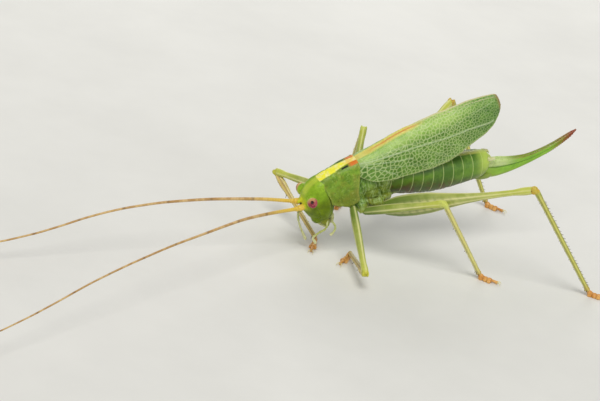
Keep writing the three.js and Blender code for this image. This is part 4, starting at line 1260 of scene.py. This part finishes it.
for side, sign in BOTH_SIDES:
    t = np.linspace(0, 1, 60)
    radius = flow(t, CERCUS_RADII)[:, 0] * (1 + 0.03 * np.sin(t * 60))
    points, faces = tube(sweep_rings(path_points([mirrored(k, sign) for k in CERCUS_PATH], 60), radius, 20))
    add_piece(f"cercus_{side}_feeler", (rear.at(*points.T), faces), PALE_SKIN, "pale_skin",
              [f"cercus_{side}"], tip=tube_values(t, 20))

# %% [markdown]
# ## Wings
# The forewings are thin leathery leaves folded over the back like a roof, the left just over the right.
# A network of fine veins stands up from the membrane, with a few strong veins running to the tip. Each
# wing is a closely spaced grid on its bent surface, and the veins lie along the borders between cells
# grown round seed points, so they join up as real ones do. The hindwings are folded like fans beneath.


# %% Wing finish
def wing_finish(name, fade):
    f = Finish(name, roughness=0.46, glow=0.25, gloss=0.12, glow_depth=0.0002)
    vein, main, along, down = (f.attribute(key) for key in ("vein", "main", "along", "down"))
    f.tone = f.patches("8ab44a", "accd6c", 520.0, 0.35, 0.68)
    f.coat(f.patches("4c7520", "6a9436", 900.0, 0.35, 0.68), f.band(down, 0.26, 0.55))
    f.coat(f.patches("2f6414", "52802a", 1900.0, 0.4, 0.6), f.band(along, 0.6, 0.92), 0.75)
    smooth = f.times(f.band(down, 0.42, 0.3), f.band(along, 0.4, 0.28), 0.6)
    f.coat("cfe09c", vein, f.band(along, 0.98, 0.6, 0.26, 0.6), f.math("SUBTRACT", 1.0, smooth))
    f.coat("bccfa0", main, 0.7)
    front = f.band(along, 0.5, 0.36)
    top = f.band(f.math("ADD", down, f.times(along, 0.04)), 0.2, 0.14)
    f.coat(f.patches("e4dc78", "e2cc68", 1500.0, 0.35, 0.65), top, front, 0.85)  # yellow ridge
    f.coat("d8803c", f.band(along, 0.06, 0.14), f.window(down, 0.05, 0.07, 0.09, 0.11), front, 0.7)
    f.coat("d8cfa4", f.band(down, 0.075, 0.03), f.band(along, 0.34, 0.5), 0.8)  # upper margin
    f.coat("c4cc90", f.band(down, 0.965, 0.99), 0.4)  # lower margin
    f.coat("9a7a4c", f.band(along, 0.972, 0.995), 0.75)  # tip
    f.coat("b4cd84", fade)
    return f.finish(11000.0, 0.4, 0.22)


WING_SKIN, FAN_SKIN = wing_finish("wing_skin", 0.0), wing_finish("fan_skin", 0.6)

# %% The wing's bent surface
FOREWING_ROWS = [  # s, ridge u, edge w, edge u
    [0.9, 1.2, 0.72, 0.95], [0.3, 1.38, 0.94, 0.66], [-0.34, 1.5, 1.24, 0.12], [-1.1, 1.64, 1.44, -0.38],
    [-2.1, 1.84, 1.48, -0.7], [-3.2, 2.04, 1.47, -0.94], [-4.3, 2.22, 1.44, -1.16], [-5.4, 2.3, 1.4, -1.36],
    [-6.5, 2.34, 1.34, -1.55], [-7.6, 2.34, 1.26, -1.62], [-8.7, 2.32, 1.16, -1.46],
    [-9.7, 2.3, 1.06, -1.12], [-10.7, 2.26, 0.98, -0.92], [-11.6, 2.16, 0.86, -0.68],
    [-12.3, 2.04, 0.74, -0.3], [-12.85, 1.92, 0.6, 0.22], [-13.16, 1.8, 0.46, 0.7], [-13.36, 1.6, 0.26, 1.1],
]
MAIN_VEINS = [  # strength, then knots of s and the share of the way down
    (1.0, [[0.8, 0.3], [-3.6, 0.52], [-6.7, 0.6], [-8.8, 0.67], [-10.8, 0.76], [-12.4, 0.9]]),
    (0.4, [[0.8, 0.28], [-3.5, 0.44], [-6.5, 0.5], [-8.5, 0.5], [-11.5, 0.42], [-12.9, 0.36]]),
    (0.4, [[0.8, 0.2], [-3.0, 0.24], [-6.0, 0.25], [-9.0, 0.22], [-12.5, 0.14]]),
    (0.4, [[-0.2, 0.5], [-2.5, 0.74], [-5.0, 0.88], [-7.5, 0.97]]),
    (0.4, [[-4.2, 0.56], [-6.0, 0.72], [-7.6, 0.9], [-8.4, 0.98]]),
    (0.4, [[-6.2, 0.6], [-8.0, 0.76], [-9.4, 0.93]]),
    (0.7, [[0.5, 0.34], [-1.2, 0.5], [-2.8, 0.64], [-4.6, 0.74]]),
    (0.6, [[0.5, 0.36], [-0.9, 0.58], [-2.0, 0.78], [-3.0, 0.94]]),
    (0.6, [[0.5, 0.26], [-1.6, 0.36], [-4.4, 0.44]]),
]
VEIN_HEIGHT, MAIN_VEIN_HEIGHT, RIM_HEIGHT = 0.02, 0.045, 0.02
LEAF_THICKNESS, FAN_THICKNESS = 0.045, 0.03


def wing_surface(s, v, overlap):
    ridge_u, edge_w, edge_u = (column[:, None] for column in flow(s, FOREWING_ROWS).T)
    a, b, c, d = (1 - v) ** 3, 3 * (1 - v) ** 2 * v, 3 * (1 - v) * v ** 2, v ** 3
    w = -a * overlap + b * edge_w * 0.62 + c * edge_w * 0.98 + d * edge_w
    u = a * ridge_u + b * (ridge_u + 0.02) + c * (edge_u + (ridge_u - edge_u) * 0.62) + d * edge_u
    return np.stack([s[:, None] + 0 * v, w, u], axis=-1)


# %% Veins between cells
def border_height(x, y, seeds, width):
    """1 on the borders between cells grown round the seeds, falling to 0 inside them."""
    tree = KDTree(len(seeds))
    for k, (sx, sy) in enumerate(seeds):
        tree.insert((sx, sy, 0), k)
    tree.balance()
    gap = np.empty(x.size)
    for k, (px, py) in enumerate(zip(x.ravel(), y.ravel())):
        (_, first, near), (_, second, far) = tree.find_n((px, py, 0), 2)
        gap[k] = (far * far - near * near) / (2 * np.hypot(*(seeds[first] - seeds[second])))
    return hump(gap, 0, width).reshape(x.shape)


def cell_seeds(rng, length, depth):
    """Cells in slanting rows, smaller toward the tip."""
    seeds, x = [], 0.0
    while x < length:
        spacing = 0.4 - 0.19 * x / length
        y = rng.uniform(0, spacing)
        while y < depth:
            seeds.append((x + rng.uniform(-0.48, 0.48) * spacing, y + rng.uniform(-0.4, 0.4) * spacing))
            y += spacing * rng.uniform(0.75, 1.3)
        x += spacing
    return np.array(seeds)


def main_veins(s, v, depth):
    main = np.zeros((len(s), v.size))
    for strength, knots in MAIN_VEINS:
        live = (s <= knots[0][0]) & (s >= knots[-1][0])
        gap = (v - flow(s, knots)) * depth
        main = np.maximum(main, hump(gap, 0, 0.025 + 0.025 * strength) * live[:, None] * strength)
    return main


# %% Forewings
def build_forewing(side, sign, overlap, lift, seed):
    s, v = np.linspace(0.9, -13.36, 390), np.linspace(0, 1, 120)[None]
    grid = wing_surface(s, v, overlap)
    x, y = -grid[..., 0], np.array([run_along(row) for row in grid])  # as if the wing were laid flat
    stretched = x + 1.0 * np.exp(-x / 2)  # long cells near the root
    vein = border_height(stretched, y, cell_seeds(np.random.default_rng(seed), 14.6, 6.2) - (0.4, 0), 0.03)
    main = main_veins(s, v, y[:, -1:])
    rim = hump(np.minimum(y, y[:, -1:] - y), 0, 0.06)
    ripple = 0.02 * np.sin(x * 1.9 + y * 0.8) + 0.012 * np.sin(x * 4.3 - y * 2.7)
    height = VEIN_HEIGHT * vein + MAIN_VEIN_HEIGHT * main + RIM_HEIGHT * rim + ripple
    height += lift * np.clip((0.4 - s) / 1.0, 0, 1)[:, None]
    grid = grid + grid_normal(grid, 1) * height[..., None]
    grid[..., 1] *= sign
    points, faces = shell(grid[:, ::sign], LEAF_THICKNESS)
    marks = {"vein": vein, "main": main, "along": (s[:, None] + 0.34) / -13.02, "down": v}
    marks = {key: np.broadcast_to(value, vein.shape)[:, ::sign] for key, value in marks.items()}
    add_piece(f"forewing_{side}_leaf", (wings.at(*points.T), faces), WING_SKIN, "wing", [f"forewing_{side}"],
              **{key: np.tile(value.ravel(), 2) for key, value in marks.items()})


build_forewing("left", 1, 0.3, 0.03, 7)
build_forewing("right", -1, 0.1, -0.04, 8)


# %% Hindwings, folded like fans
FAN_START, FAN_END, FAN_FOLDS = -2.6, -11.6, 9


def build_hindwings():
    s, v = np.linspace(FAN_START, FAN_END, 150), np.linspace(0, 1, 96)
    share = (s - FAN_START) / (FAN_END - FAN_START)
    top = flow(share, [[0, 1.1], [0.3, 1.85], [0.7, 1.8], [1, 1.3]])
    low = flow(share, [[0, 0.4], [0.4, -0.2], [0.75, 0.0], [1, 0.9]])
    u = top + (low - top) * v
    wave = np.sin(v * TURN * FAN_FOLDS)
    pleat = 0.075 * wave * np.sin(np.pi * np.clip(share, 0.06, 0.96))[:, None]
    fans = [shell(np.stack([s[:, None] + 0 * u, sign * (0.24 + pleat), u], axis=-1), FAN_THICKNESS)
            for _, sign in BOTH_SIDES]
    points, faces = join(fans)
    along, vein = np.broadcast_arrays((0.4 + 0.5 * share)[:, None], np.abs(wave) ** 6)
    add_piece("hindwing_fans", (wings.at(*points.T), faces), FAN_SKIN, "wing", ["hindwings"],
              along=np.tile(along.ravel(), 4), vein=np.tile(vein.ravel(), 4),
              down=np.full(len(points), 0.5), main=np.zeros(len(points)))


build_hindwings()

# %% [markdown]
# ## Legs
# Each leg is a thigh, a shin and a foot of four joints. Thigh and shin are long tubes with fine ridges
# running down them, so each is skinned through rings whose outline has shallow corners. The hind thigh
# swells near the body with the jumping muscle. Knees have two lobes, and a foot is lobed pads melted
# together with two claws beyond.


# %% Leg finishes
def leg_finish():
    """Reach runs from 0 at the hip to 1 at the knee and 2 at the ankle."""
    f = Finish("leg_skin", roughness=0.42, glow=0.2, gloss=0.2)
    reach, up, knee = (f.attribute(key) for key in ("reach", "up", "knee"))
    tall, shin = f.math("ABSOLUTE", up), f.band(reach, 1.0, 1.08)
    f.tone = f.patches("8a9f38", "a8b45c", 1000.0)
    f.coat(f.patches("9fa24c", "bcbc74", 1200.0), f.attribute("warmth"), 0.85)
    f.coat(f.attribute("shin_tone", "Color"), shin, 0.75)
    f.coat("647e2c", f.band(reach, 0.45, 0.12), 0.85)
    f.coat("d0d458", f.window(reach, 0.55, 0.95, 1.0, 1.05), 0.62)  # toward the knee
    f.coat("7c6a24", f.window(tall, 0.42, 0.6, 0.74, 0.86), shin, 0.5)  # painted shade in the shin's grooves
    # painted highlight line down both flanks of the shin
    f.coat("e6dc7c", f.band(tall, 0.34, 0.14), shin, 0.55)
    # pale on the raised ridges, the leg's own colour, and along the top of the leg a painted highlight line
    ridge = f.math("MAXIMUM", f.attribute("ridge"), f.times(f.band(up, 0.93, 0.99), 0.6))
    f.coat("e8e4a8", ridge, 0.85)
    f.coat("5f7a28", f.attribute("furrow"), f.band(reach, 1.0, 0.9), 0.5)
    f.coat("5d6a2a", f.flecks(2600.0, 0.06), 0.4)
    patchy = f.math("ADD", 0.55, f.times(f.mottle(2600.0, 0.4, 0.6), 0.4))
    f.coat(f.attribute("knee_tone", "Color"), f.band(knee, 0.1, 0.95), patchy)
    f.coat("6e3c14", f.flecks(3400.0, 0.14), f.band(knee, 0.3, 0.8), f.attribute("knee_dots"))
    f.coat("c09a52", f.band(reach, 1.9, 2.02), 0.8)  # ankle
    return f.finish(9000.0, 0.6, 0.3)


def foot_finish():
    f = Finish("foot_skin", roughness=0.42, glow=0.2, gloss=0.2)
    f.tone = f.patches("c98a3c", "dca85e", 1500.0)
    f.coat("d9cf9c", f.band(f.attribute("reach"), 2.7, 2.95))
    f.coat("8a5a26", f.attribute("ridge"), 0.5)
    return f.finish(12000.0, 0.5, 0.3)


LEG_SKIN, FOOT_SKIN = leg_finish(), foot_finish()

# %% Leg measures
LEGS = {  # knee, then ankle and toe on the floor
    "front_left": [(-0.82, -6.57, 1.77), (1.02, -0.29), (-0.54, -1.75)],
    "front_right": [(-3.49, 7.19, 4.3), (-0.97, 2.36), (-2.14, 0.58)],
    "mid_left": [(5.9, -4.84, 7.38), (11.49, -4.1), (12.8, -5.25)],
    "mid_right": [(3.52, 6.55, 8.82), (3.87, 8.54), (4.9, 9.94)],
    "hind_left": [(12.27, -7.7, 10.1), (20.47, -7.23), (21.97, -8.22)],
    "hind_right": [(12.31, 8.0, 10.88), (19.34, 9.46), (20.55, 8.13)],
}
ANKLE_HEIGHT = 0.45
WALKING_THIGH = [  # share of the length, half-width, half-height
    [0, 0.14, 0.16], [0.03, 0.28, 0.3], [0.1, 0.31, 0.35], [0.3, 0.33, 0.39], [0.6, 0.29, 0.33],
    [0.82, 0.25, 0.27], [0.93, 0.29, 0.33], [0.985, 0.26, 0.3], [1, 0.12, 0.14],
]
LEAPING_THIGH = [
    [0, 0.18, 0.22], [0.02, 0.34, 0.5], [0.07, 0.46, 0.72], [0.13, 0.54, 0.87], [0.21, 0.55, 0.92],
    [0.31, 0.51, 0.86], [0.4, 0.43, 0.7], [0.5, 0.34, 0.52], [0.6, 0.28, 0.38], [0.7, 0.24, 0.29],
    [0.85, 0.22, 0.25], [0.93, 0.28, 0.34], [0.985, 0.25, 0.31], [1, 0.12, 0.15],
]
FRONT_SHIN = [
    [0, 0.1, 0.1], [0.02, 0.2, 0.21], [0.06, 0.21, 0.22], [0.12, 0.27, 0.28], [0.2, 0.28, 0.3],
    [0.28, 0.24, 0.25], [0.4, 0.19, 0.2], [0.94, 0.17, 0.18], [0.985, 0.2, 0.21], [1, 0.12, 0.12],
]
MID_SHIN = [
    [0, 0.1, 0.1], [0.02, 0.21, 0.23], [0.07, 0.2, 0.22], [0.5, 0.18, 0.2], [0.95, 0.17, 0.18],
    [0.985, 0.21, 0.22], [1, 0.12, 0.12],
]
HIND_SHIN = [
    [0, 0.1, 0.12], [0.015, 0.22, 0.26], [0.05, 0.21, 0.25], [0.12, 0.19, 0.21], [0.5, 0.18, 0.2],
    [0.95, 0.17, 0.19], [0.985, 0.22, 0.23], [1, 0.12, 0.12],
]
CROSS, SIX_RIDGES = (QUARTER, -QUARTER, 0, np.pi), (QUARTER, -QUARTER, 0.35, np.pi - 0.35, -0.5, np.pi + 0.5)
SHIN_EDGES = (QUARTER + 0.45, QUARTER - 0.45, -QUARTER + 0.5, -QUARTER - 0.5)
KNEE_LOBE_LENGTH, KNEE_LOBE_WIDTH = 0.3, 0.1


def thigh_swell(t, angle):
    """Shallow slanting furrows where the jumping muscle takes hold."""
    face = np.abs(np.cos(angle)) ** 3
    return 0.012 * face * np.sin(t * 130 + 3 * np.sin(angle)) * hump(t, 0.27, 0.2)


def ear_swell(t, angle):
    """The open oval ear near the top of a front shin."""
    face = np.cos(angle) ** 2
    rim = hump(t, 0.17, 0.05) * hump(face, 1, 0.4)
    return -0.35 * hump(t, 0.17, 0.035) * hump(face, 1, 0.22) + 0.12 * rim


FAMILIES = {
    "front": dict(thigh=WALKING_THIGH, thigh_rings=110, ridges=CROSS, furrows=None, shin=FRONT_SHIN,
                  ear=ear_swell, knee_length=0.05, knee_lobe=0.24, knee_tone="c6c23a", shin_tone="dfb77c",
                  warmth=0.45, knee_dots=0.15, spines=4, spine_size=0.24),
    "mid": dict(thigh=WALKING_THIGH, thigh_rings=110, ridges=CROSS, furrows=None, shin=MID_SHIN,
                ear=None, knee_length=0.08, knee_lobe=0.24, knee_tone="cfd86c", shin_tone="e4da8c",
                warmth=0.3, knee_dots=0.15, spines=6, spine_size=0.17),
    "hind": dict(thigh=LEAPING_THIGH, thigh_rings=190, ridges=SIX_RIDGES, furrows=thigh_swell, shin=HIND_SHIN,
                 ear=None, knee_length=0.034, knee_lobe=0.3, knee_tone="c8a236", shin_tone="b8ba52",
                 warmth=0.55, knee_dots=0.8, spines=24, spine_size=0.17),
}


# %% Limbs
class Limb:
    """Places points along, across and above a straight length between two points."""

    def __init__(self, start, end):
        self.start, self.end = np.asarray(start, float), np.asarray(end, float)
        self.length = float(np.linalg.norm(self.end - self.start))
        self.along = (self.end - self.start) / self.length
        self.side = unit(np.cross((0, 0, 1), self.along))
        self.deep = np.cross(self.along, self.side)

    def at(self, t, across, above):
        t, across, above = (v[..., None] for v in np.broadcast_arrays(t, across, above))
        return self.start + (t * self.length) * self.along + across * self.side + above * self.deep


def ridged_tube(limb, stations, around, rings, ridges, swell=None):
    """A tube along a limb whose outline carries fine ridges at the given angles."""
    t, angle = np.linspace(0, 1, rings)[:, None], angles(around)[None]
    half, tall = (column[:, None] for column in flow(t[:, 0], stations).T)
    away = np.abs((angle - np.reshape(ridges, (-1, 1)) + np.pi) % TURN - np.pi)
    raised = hump(away, 0, 0.16).max(axis=0)
    body = hump(t, 0.5, 0.62)
    grow = 1 + 0.07 * raised * body
    if swell is not None:
        grow = grow + swell(t, angle)
    skin = tube(limb.at(t, np.cos(angle) * half * grow, np.sin(angle) * tall * grow))
    marks = {"ridge": tube_values(raised * body * (t > 0.02) * (t < 0.97)),
             "up": tube_values(np.sin(angle) + 0 * t)}
    return skin, t, marks


# %% Legs from hip to ankle
def knee_lobes(thigh, tall):
    for sign in (1, -1):
        p, faces = ball((0, 0, 0), (KNEE_LOBE_LENGTH, KNEE_LOBE_WIDTH, tall), 12, 18)
        points = thigh.at(1 + (p[:, 0] - 0.14) / thigh.length, p[:, 1] + sign * 0.2, p[:, 2] - 0.02)
        yield points, faces, {"reach": 0.99, "knee": 1.0}


def build_leg(name, family):
    knee, ankle, _ = LEGS[name]
    knee, ankle = np.array(knee) + STAND, np.array([*ankle, ANKLE_HEIGHT]) + STAND
    thigh, shin = Limb(trunk.at(*HIPS[name][1]), knee), Limb(knee, ankle)
    bend = family["knee_length"]
    skin, t, marks = ridged_tube(thigh, family["thigh"], 36, family["thigh_rings"], family["ridges"],
                                 family["furrows"])
    marks |= {"reach": tube_values(t[:, 0], 36),
              "knee": tube_values(np.clip((t[:, 0] - (1 - bend)) / bend * 1.6, 0, 1), 36)}
    if family["furrows"]:
        marks["furrow"] = tube_values(np.clip(-thigh_swell(t, angles(36)[None]) / 0.01, 0, 1))
    parts = [(*skin, marks)]
    skin, t, marks = ridged_tube(shin, family["shin"], 28, 170, SHIN_EDGES, family["ear"])
    marks |= {"reach": tube_values(1 + t[:, 0], 28),
              "knee": tube_values(np.clip(1.3 - t[:, 0] / bend * 1.2, 0, 1), 28)}
    parts += [(*skin, marks), *knee_lobes(thigh, family["knee_lobe"])]
    skin, marks = join_marked(parts, "reach", "ridge", "up", "knee", "furrow")
    for key in ("warmth", "knee_dots"):
        marks[key] = np.full(len(skin[0]), family[key])
    for key in ("knee_tone", "shin_tone"):
        marks[key] = np.tile(paint(family[key])[:3], (len(skin[0]), 1))
    add_piece(f"leg_{name}", skin, LEG_SKIN, "leg", [f"femur_{name}", f"tibia_{name}"], **marks)
    return thigh, shin


# %% Feet
FOOT_PADS = ((0.04, 0.19), (0.25, 0.23), (0.44, 0.3))  # where each begins along the foot, and its width
FOOT_SEAMS = (0.225, 0.43, 0.64)
CLAW_PATH = ((0.93, 0.05, 0.2), (1.02, 0.16, 0.26), (1.1, 0.2, 0.17), (1.13, 0.2, 0.05))


def foot_lumps(foot):
    """Two round pads and a narrow core for each of three joints, between the ankle and the last joint."""
    yield peg(foot.at(-0.02, 0, 0.42), foot.at(0.28, 0, 0.24), [0.16, 0.2, 0.19, 0.15])
    for start, width in FOOT_PADS:
        for sign in (1, -1):
            p, faces = ball((0, 0, 0), (0.24, width * 0.62, 0.17), 10, 16)
            along = (p[:, 0] + start * foot.length + 0.16) / foot.length
            yield foot.at(along, p[:, 1] + sign * width * 0.52, p[:, 2] + 0.12), faces
        yield peg(foot.at(start, 0, 0.24), foot.at(start + 0.22, 0, 0.22), [0.14, 0.19, 0.2, 0.15])
    yield peg(foot.at(0.58, 0, 0.26), foot.at(0.96, 0, 0.2), [0.1, 0.11, 0.12, 0.15])


def build_foot(name):
    """Three lobed joints and a slim fourth with two claws, its soles flat on the floor."""
    heel, toe = (np.array([*place, 0.0]) + STAND for place in LEGS[name][1:])
    foot = Limb(heel, toe)
    points, faces = fused(list(foot_lumps(foot)), FINE_VOXEL, 3)
    t = (points - foot.start) @ foot.along / foot.length
    seams = np.clip(sum(hump(t, place, 0.02) for place in FOOT_SEAMS), 0, 1)
    centre = foot.start + (t * foot.length)[:, None] * foot.along + np.array([0, 0, 0.2])
    points = points - unit(points - centre) * (0.035 * seams)[:, None]
    points[:, 2] = np.maximum(points[:, 2], 0.0)
    parts = [(points, faces, {"reach": 2 + 0.8 * np.clip(t, 0, 1), "ridge": seams})]
    for sign in (1, -1):
        path = path_points([foot.at(along, sign * across, above) for along, across, above in CLAW_PATH], 24)
        points, faces = tube(sweep_rings(path, np.linspace(0.055, 0.012, 24), 10))
        points[:, 2] = np.maximum(points[:, 2], 0.002)
        parts.append((points, faces, {"reach": 3.0}))
    skin, marks = join_marked(parts, "reach", "ridge")
    add_piece(f"foot_{name}", skin, FOOT_SKIN, "foot", [f"tarsus_{name}"], **marks)


# %% Shin spines and hairs
SPUR_REACH, SPUR_SIZE = 0.975, 0.26


def sow(name, rows, **look):
    """Sows spines or hairs from rows of points, leans, lengths and places on the unwrap."""
    mesh = scatter(*(np.concatenate(part) for part in zip(*rows)))
    settle(grown(name, mesh, SPINES, **look), "leg", [])


def sow_spines(name, shin, family, rng):
    hind = name.startswith("hind")
    rows = []
    for turn, share in zip(SHIN_EDGES, (1.0, 1.0, 0.4, 0.4)):
        if turn > 0 and not hind:
            continue
        count = max(3, round(family["spines"] * share))
        t = np.linspace(0.12 if hind else 0.34, 0.95, count) + rng.uniform(-0.006, 0.006, count)
        half, tall = flow(t, family["shin"]).T
        lean = unit(np.cos(turn) * shin.side + np.sin(turn) * shin.deep + 0.75 * shin.along)
        size = family["spine_size"] * (0.8 if hind and turn < 0 else 1)
        rows.append((shin.at(t, np.cos(turn) * half, np.sin(turn) * tall), np.tile(lean, (count, 1)),
                     size * rng.uniform(0.8, 1.15, count),
                     np.column_stack([t, np.full(count, turn / TURN + 0.5)])))
    for across in (0.14, -0.14):  # two spurs at the ankle
        rows.append((shin.at([SPUR_REACH], [across], [-0.14]), unit(shin.along - 0.5 * shin.deep)[None],
                     [SPUR_SIZE], [[SPUR_REACH, 0.2 + across]]))
    sow(f"spines_{name}", rows, Slimness=0.13, Sides=6, Finish=DARK_SPINE)


def sow_hairs(name, thigh, shin, family, rng):
    """Short pale hairs that lie along the leg, thicker toward the foot."""
    rows = []
    for limb, shape, count, size in ((thigh, family["thigh"], 110, 0.09), (shin, family["shin"], 210, 0.13)):
        t, turn = rng.uniform(0.05, 0.97, count), rng.uniform(0, TURN, count)
        half, tall = flow(t, shape).T
        spoke = np.cos(turn)[:, None] * limb.side + np.sin(turn)[:, None] * limb.deep
        rows.append((limb.at(t, np.cos(turn) * half * 0.97, np.sin(turn) * tall * 0.97),
                     unit(0.55 * spoke + limb.along), size * rng.uniform(0.7, 1.2, count),
                     np.column_stack([t, turn / TURN])))
    sow(f"hairs_{name}", rows, Slimness=0.05, Sides=4, Finish=PALE_HAIR)


leg_rng = np.random.default_rng(21)
for leg in LEGS:
    family = FAMILIES[leg.split("_")[0]]
    thigh, shin = build_leg(leg, family)
    build_foot(leg)
    sow_spines(leg, shin, family, leg_rng)
    sow_hairs(leg, thigh, shin, family, leg_rng)

# %% [markdown]
# ## Feelers
# The feelers are longer than the body: a thick root joint, a short second joint and a whip of some
# hundred and fifty tiny rings that thins toward its end. A Geometry Nodes tree sweeps a circle along
# the whip's path, and the swell of every ring is a radius kept on the path's points.


# %% Feeler finish and tree
def feeler_finish():
    f = Finish("feeler_skin", roughness=0.45, glow=0.15, gloss=0.15)
    f.tone = f.patches("b58e58", "d0b07a", 1300.0)
    f.coat("e2c04e", f.band(f.attribute("along"), 5.0, 0.4))
    f.coat("6e4a28", f.attribute("dark"), 0.6)
    f.coat("946c40", f.attribute("ring"), 0.22)
    return f.finish(14000.0, 0.5, 0.25)


def whip_tree():
    w, put_in, take = grow_tree("whip", Sides=12)
    curve = w.node("GeometryNodeMeshToCurve", {"Mesh": put_in.outputs["Geometry"]})
    circle = w.node("GeometryNodeCurvePrimitiveCircle", {
        "Resolution": put_in.outputs["Sides"], "Radius": 1.0})
    swept = w.node("GeometryNodeCurveToMesh", {
        "Curve": curve.outputs["Curve"], "Profile Curve": circle.outputs["Curve"],
        "Scale": w.named("thick", "FLOAT"), "Fill Caps": True})
    real = w.node("GeometryNodeRealizeInstances", {"Geometry": swept.outputs["Mesh"]})
    smooth = w.node("GeometryNodeSetShadeSmooth", {"Geometry": real.outputs["Geometry"]})
    return coat_and_close(w, put_in, take, smooth.outputs["Geometry"])


FEELER_SKIN, WHIP = feeler_finish(), whip_tree()

# %% Feelers
SCAPES = {  # where each feeler's root joints begin and end, on the trunk
    "left": [(5.12, 0.42, -0.52), (5.98, 0.46, -0.27)],
    "right": [(5.12, -0.42, -0.52), (5.86, -0.46, -0.1)],
}
WHIP_PATHS = {
    "left": [(-7.85, -1.65, 4.78), (-11.8, -3.8, 5.1), (-16.1, -6.1, 5.0), (-18.6, -7.4, 4.9),
             (-22.0, -9.3, 4.7), (-26.5, -11.65, 4.1), (-30.4, -13.7, 3.3), (-32.8, -15.0, 2.9),
             (-36.6, -16.9, 2.4), (-40.2, -18.6, 2.2)],
    "right": [(-8.35, 0.25, 5.12), (-12.0, 0.05, 5.18), (-16.15, -0.2, 5.02), (-19.1, -0.4, 4.7),
              (-21.0, -0.5, 4.35), (-23.2, -0.65, 3.8), (-25.3, -0.75, 3.1), (-27.6, -0.9, 2.45),
              (-31.0, -1.1, 1.8), (-35.5, -1.2, 1.5), (-39.6, -1.1, 1.5)],
}
WHIP_RADII = [[0, 0.16], [2, 0.145], [8, 0.12], [16, 0.09], [28, 0.07]]
WHIP_TIP_RADIUS = 0.05
DARK_RING_SPACING = 3.8


def build_feeler_root(side, root, along):
    points, faces = fused([
        peg(root - 0.1 * along, root + 0.62 * along, [0.15, 0.24, 0.27, 0.26, 0.2]),
        peg(root + 0.56 * along, root + 0.9 * along, [0.14, 0.2, 0.2, 0.16]),
    ], FINE_VOXEL, 2)
    run = (points - root) @ along
    seam = hump(run, 0.6, 0.035)
    points = points - unit(points - root - run[:, None] * along) * (0.05 * seam)[:, None]
    add_piece(f"feeler_root_{side}", (points, faces), FEELER_SKIN, "yellow_skin", [f"scape_{side}"],
              along=np.zeros(len(points)), ring=seam, dark=np.zeros(len(points)))


def build_feeler(side):
    root, tip = (trunk.at(*p) for p in SCAPES[side])
    along = unit(tip - root)
    build_feeler_root(side, root, along)
    path = path_points([tip - 0.15 * along, *(np.array(WHIP_PATHS[side]) + STAND)], 1100)
    run = run_along(path)
    turn = np.cumsum(np.gradient(run) / (0.24 + 0.006 * run))
    ring = np.abs(np.sin(np.pi * turn)) ** 0.6
    radius = flow(run, [*WHIP_RADII, [run[-1], WHIP_TIP_RADIUS]])[:, 0] * (0.93 + 0.08 * ring)
    half = 0.5 * DARK_RING_SPACING
    dark = hump(np.mod(run + half, DARK_RING_SPACING) - half, 0, 0.16) * (run > 3)
    mesh = bpy.data.meshes.new("whip_path")
    mesh.from_pydata((path * MM).tolist(), [(k, k + 1) for k in range(len(path) - 1)], [])
    mark(mesh, thick=radius * MM, along=run, ring=1 - ring, dark=dark)
    settle(grown(f"feeler_whip_{side}", mesh, WHIP, Sides=12, Finish=FEELER_SKIN), "feeler",
           [f"antenna_{side}_{k}" for k in (1, 2, 3)])


for side, _ in BOTH_SIDES:
    build_feeler(side)
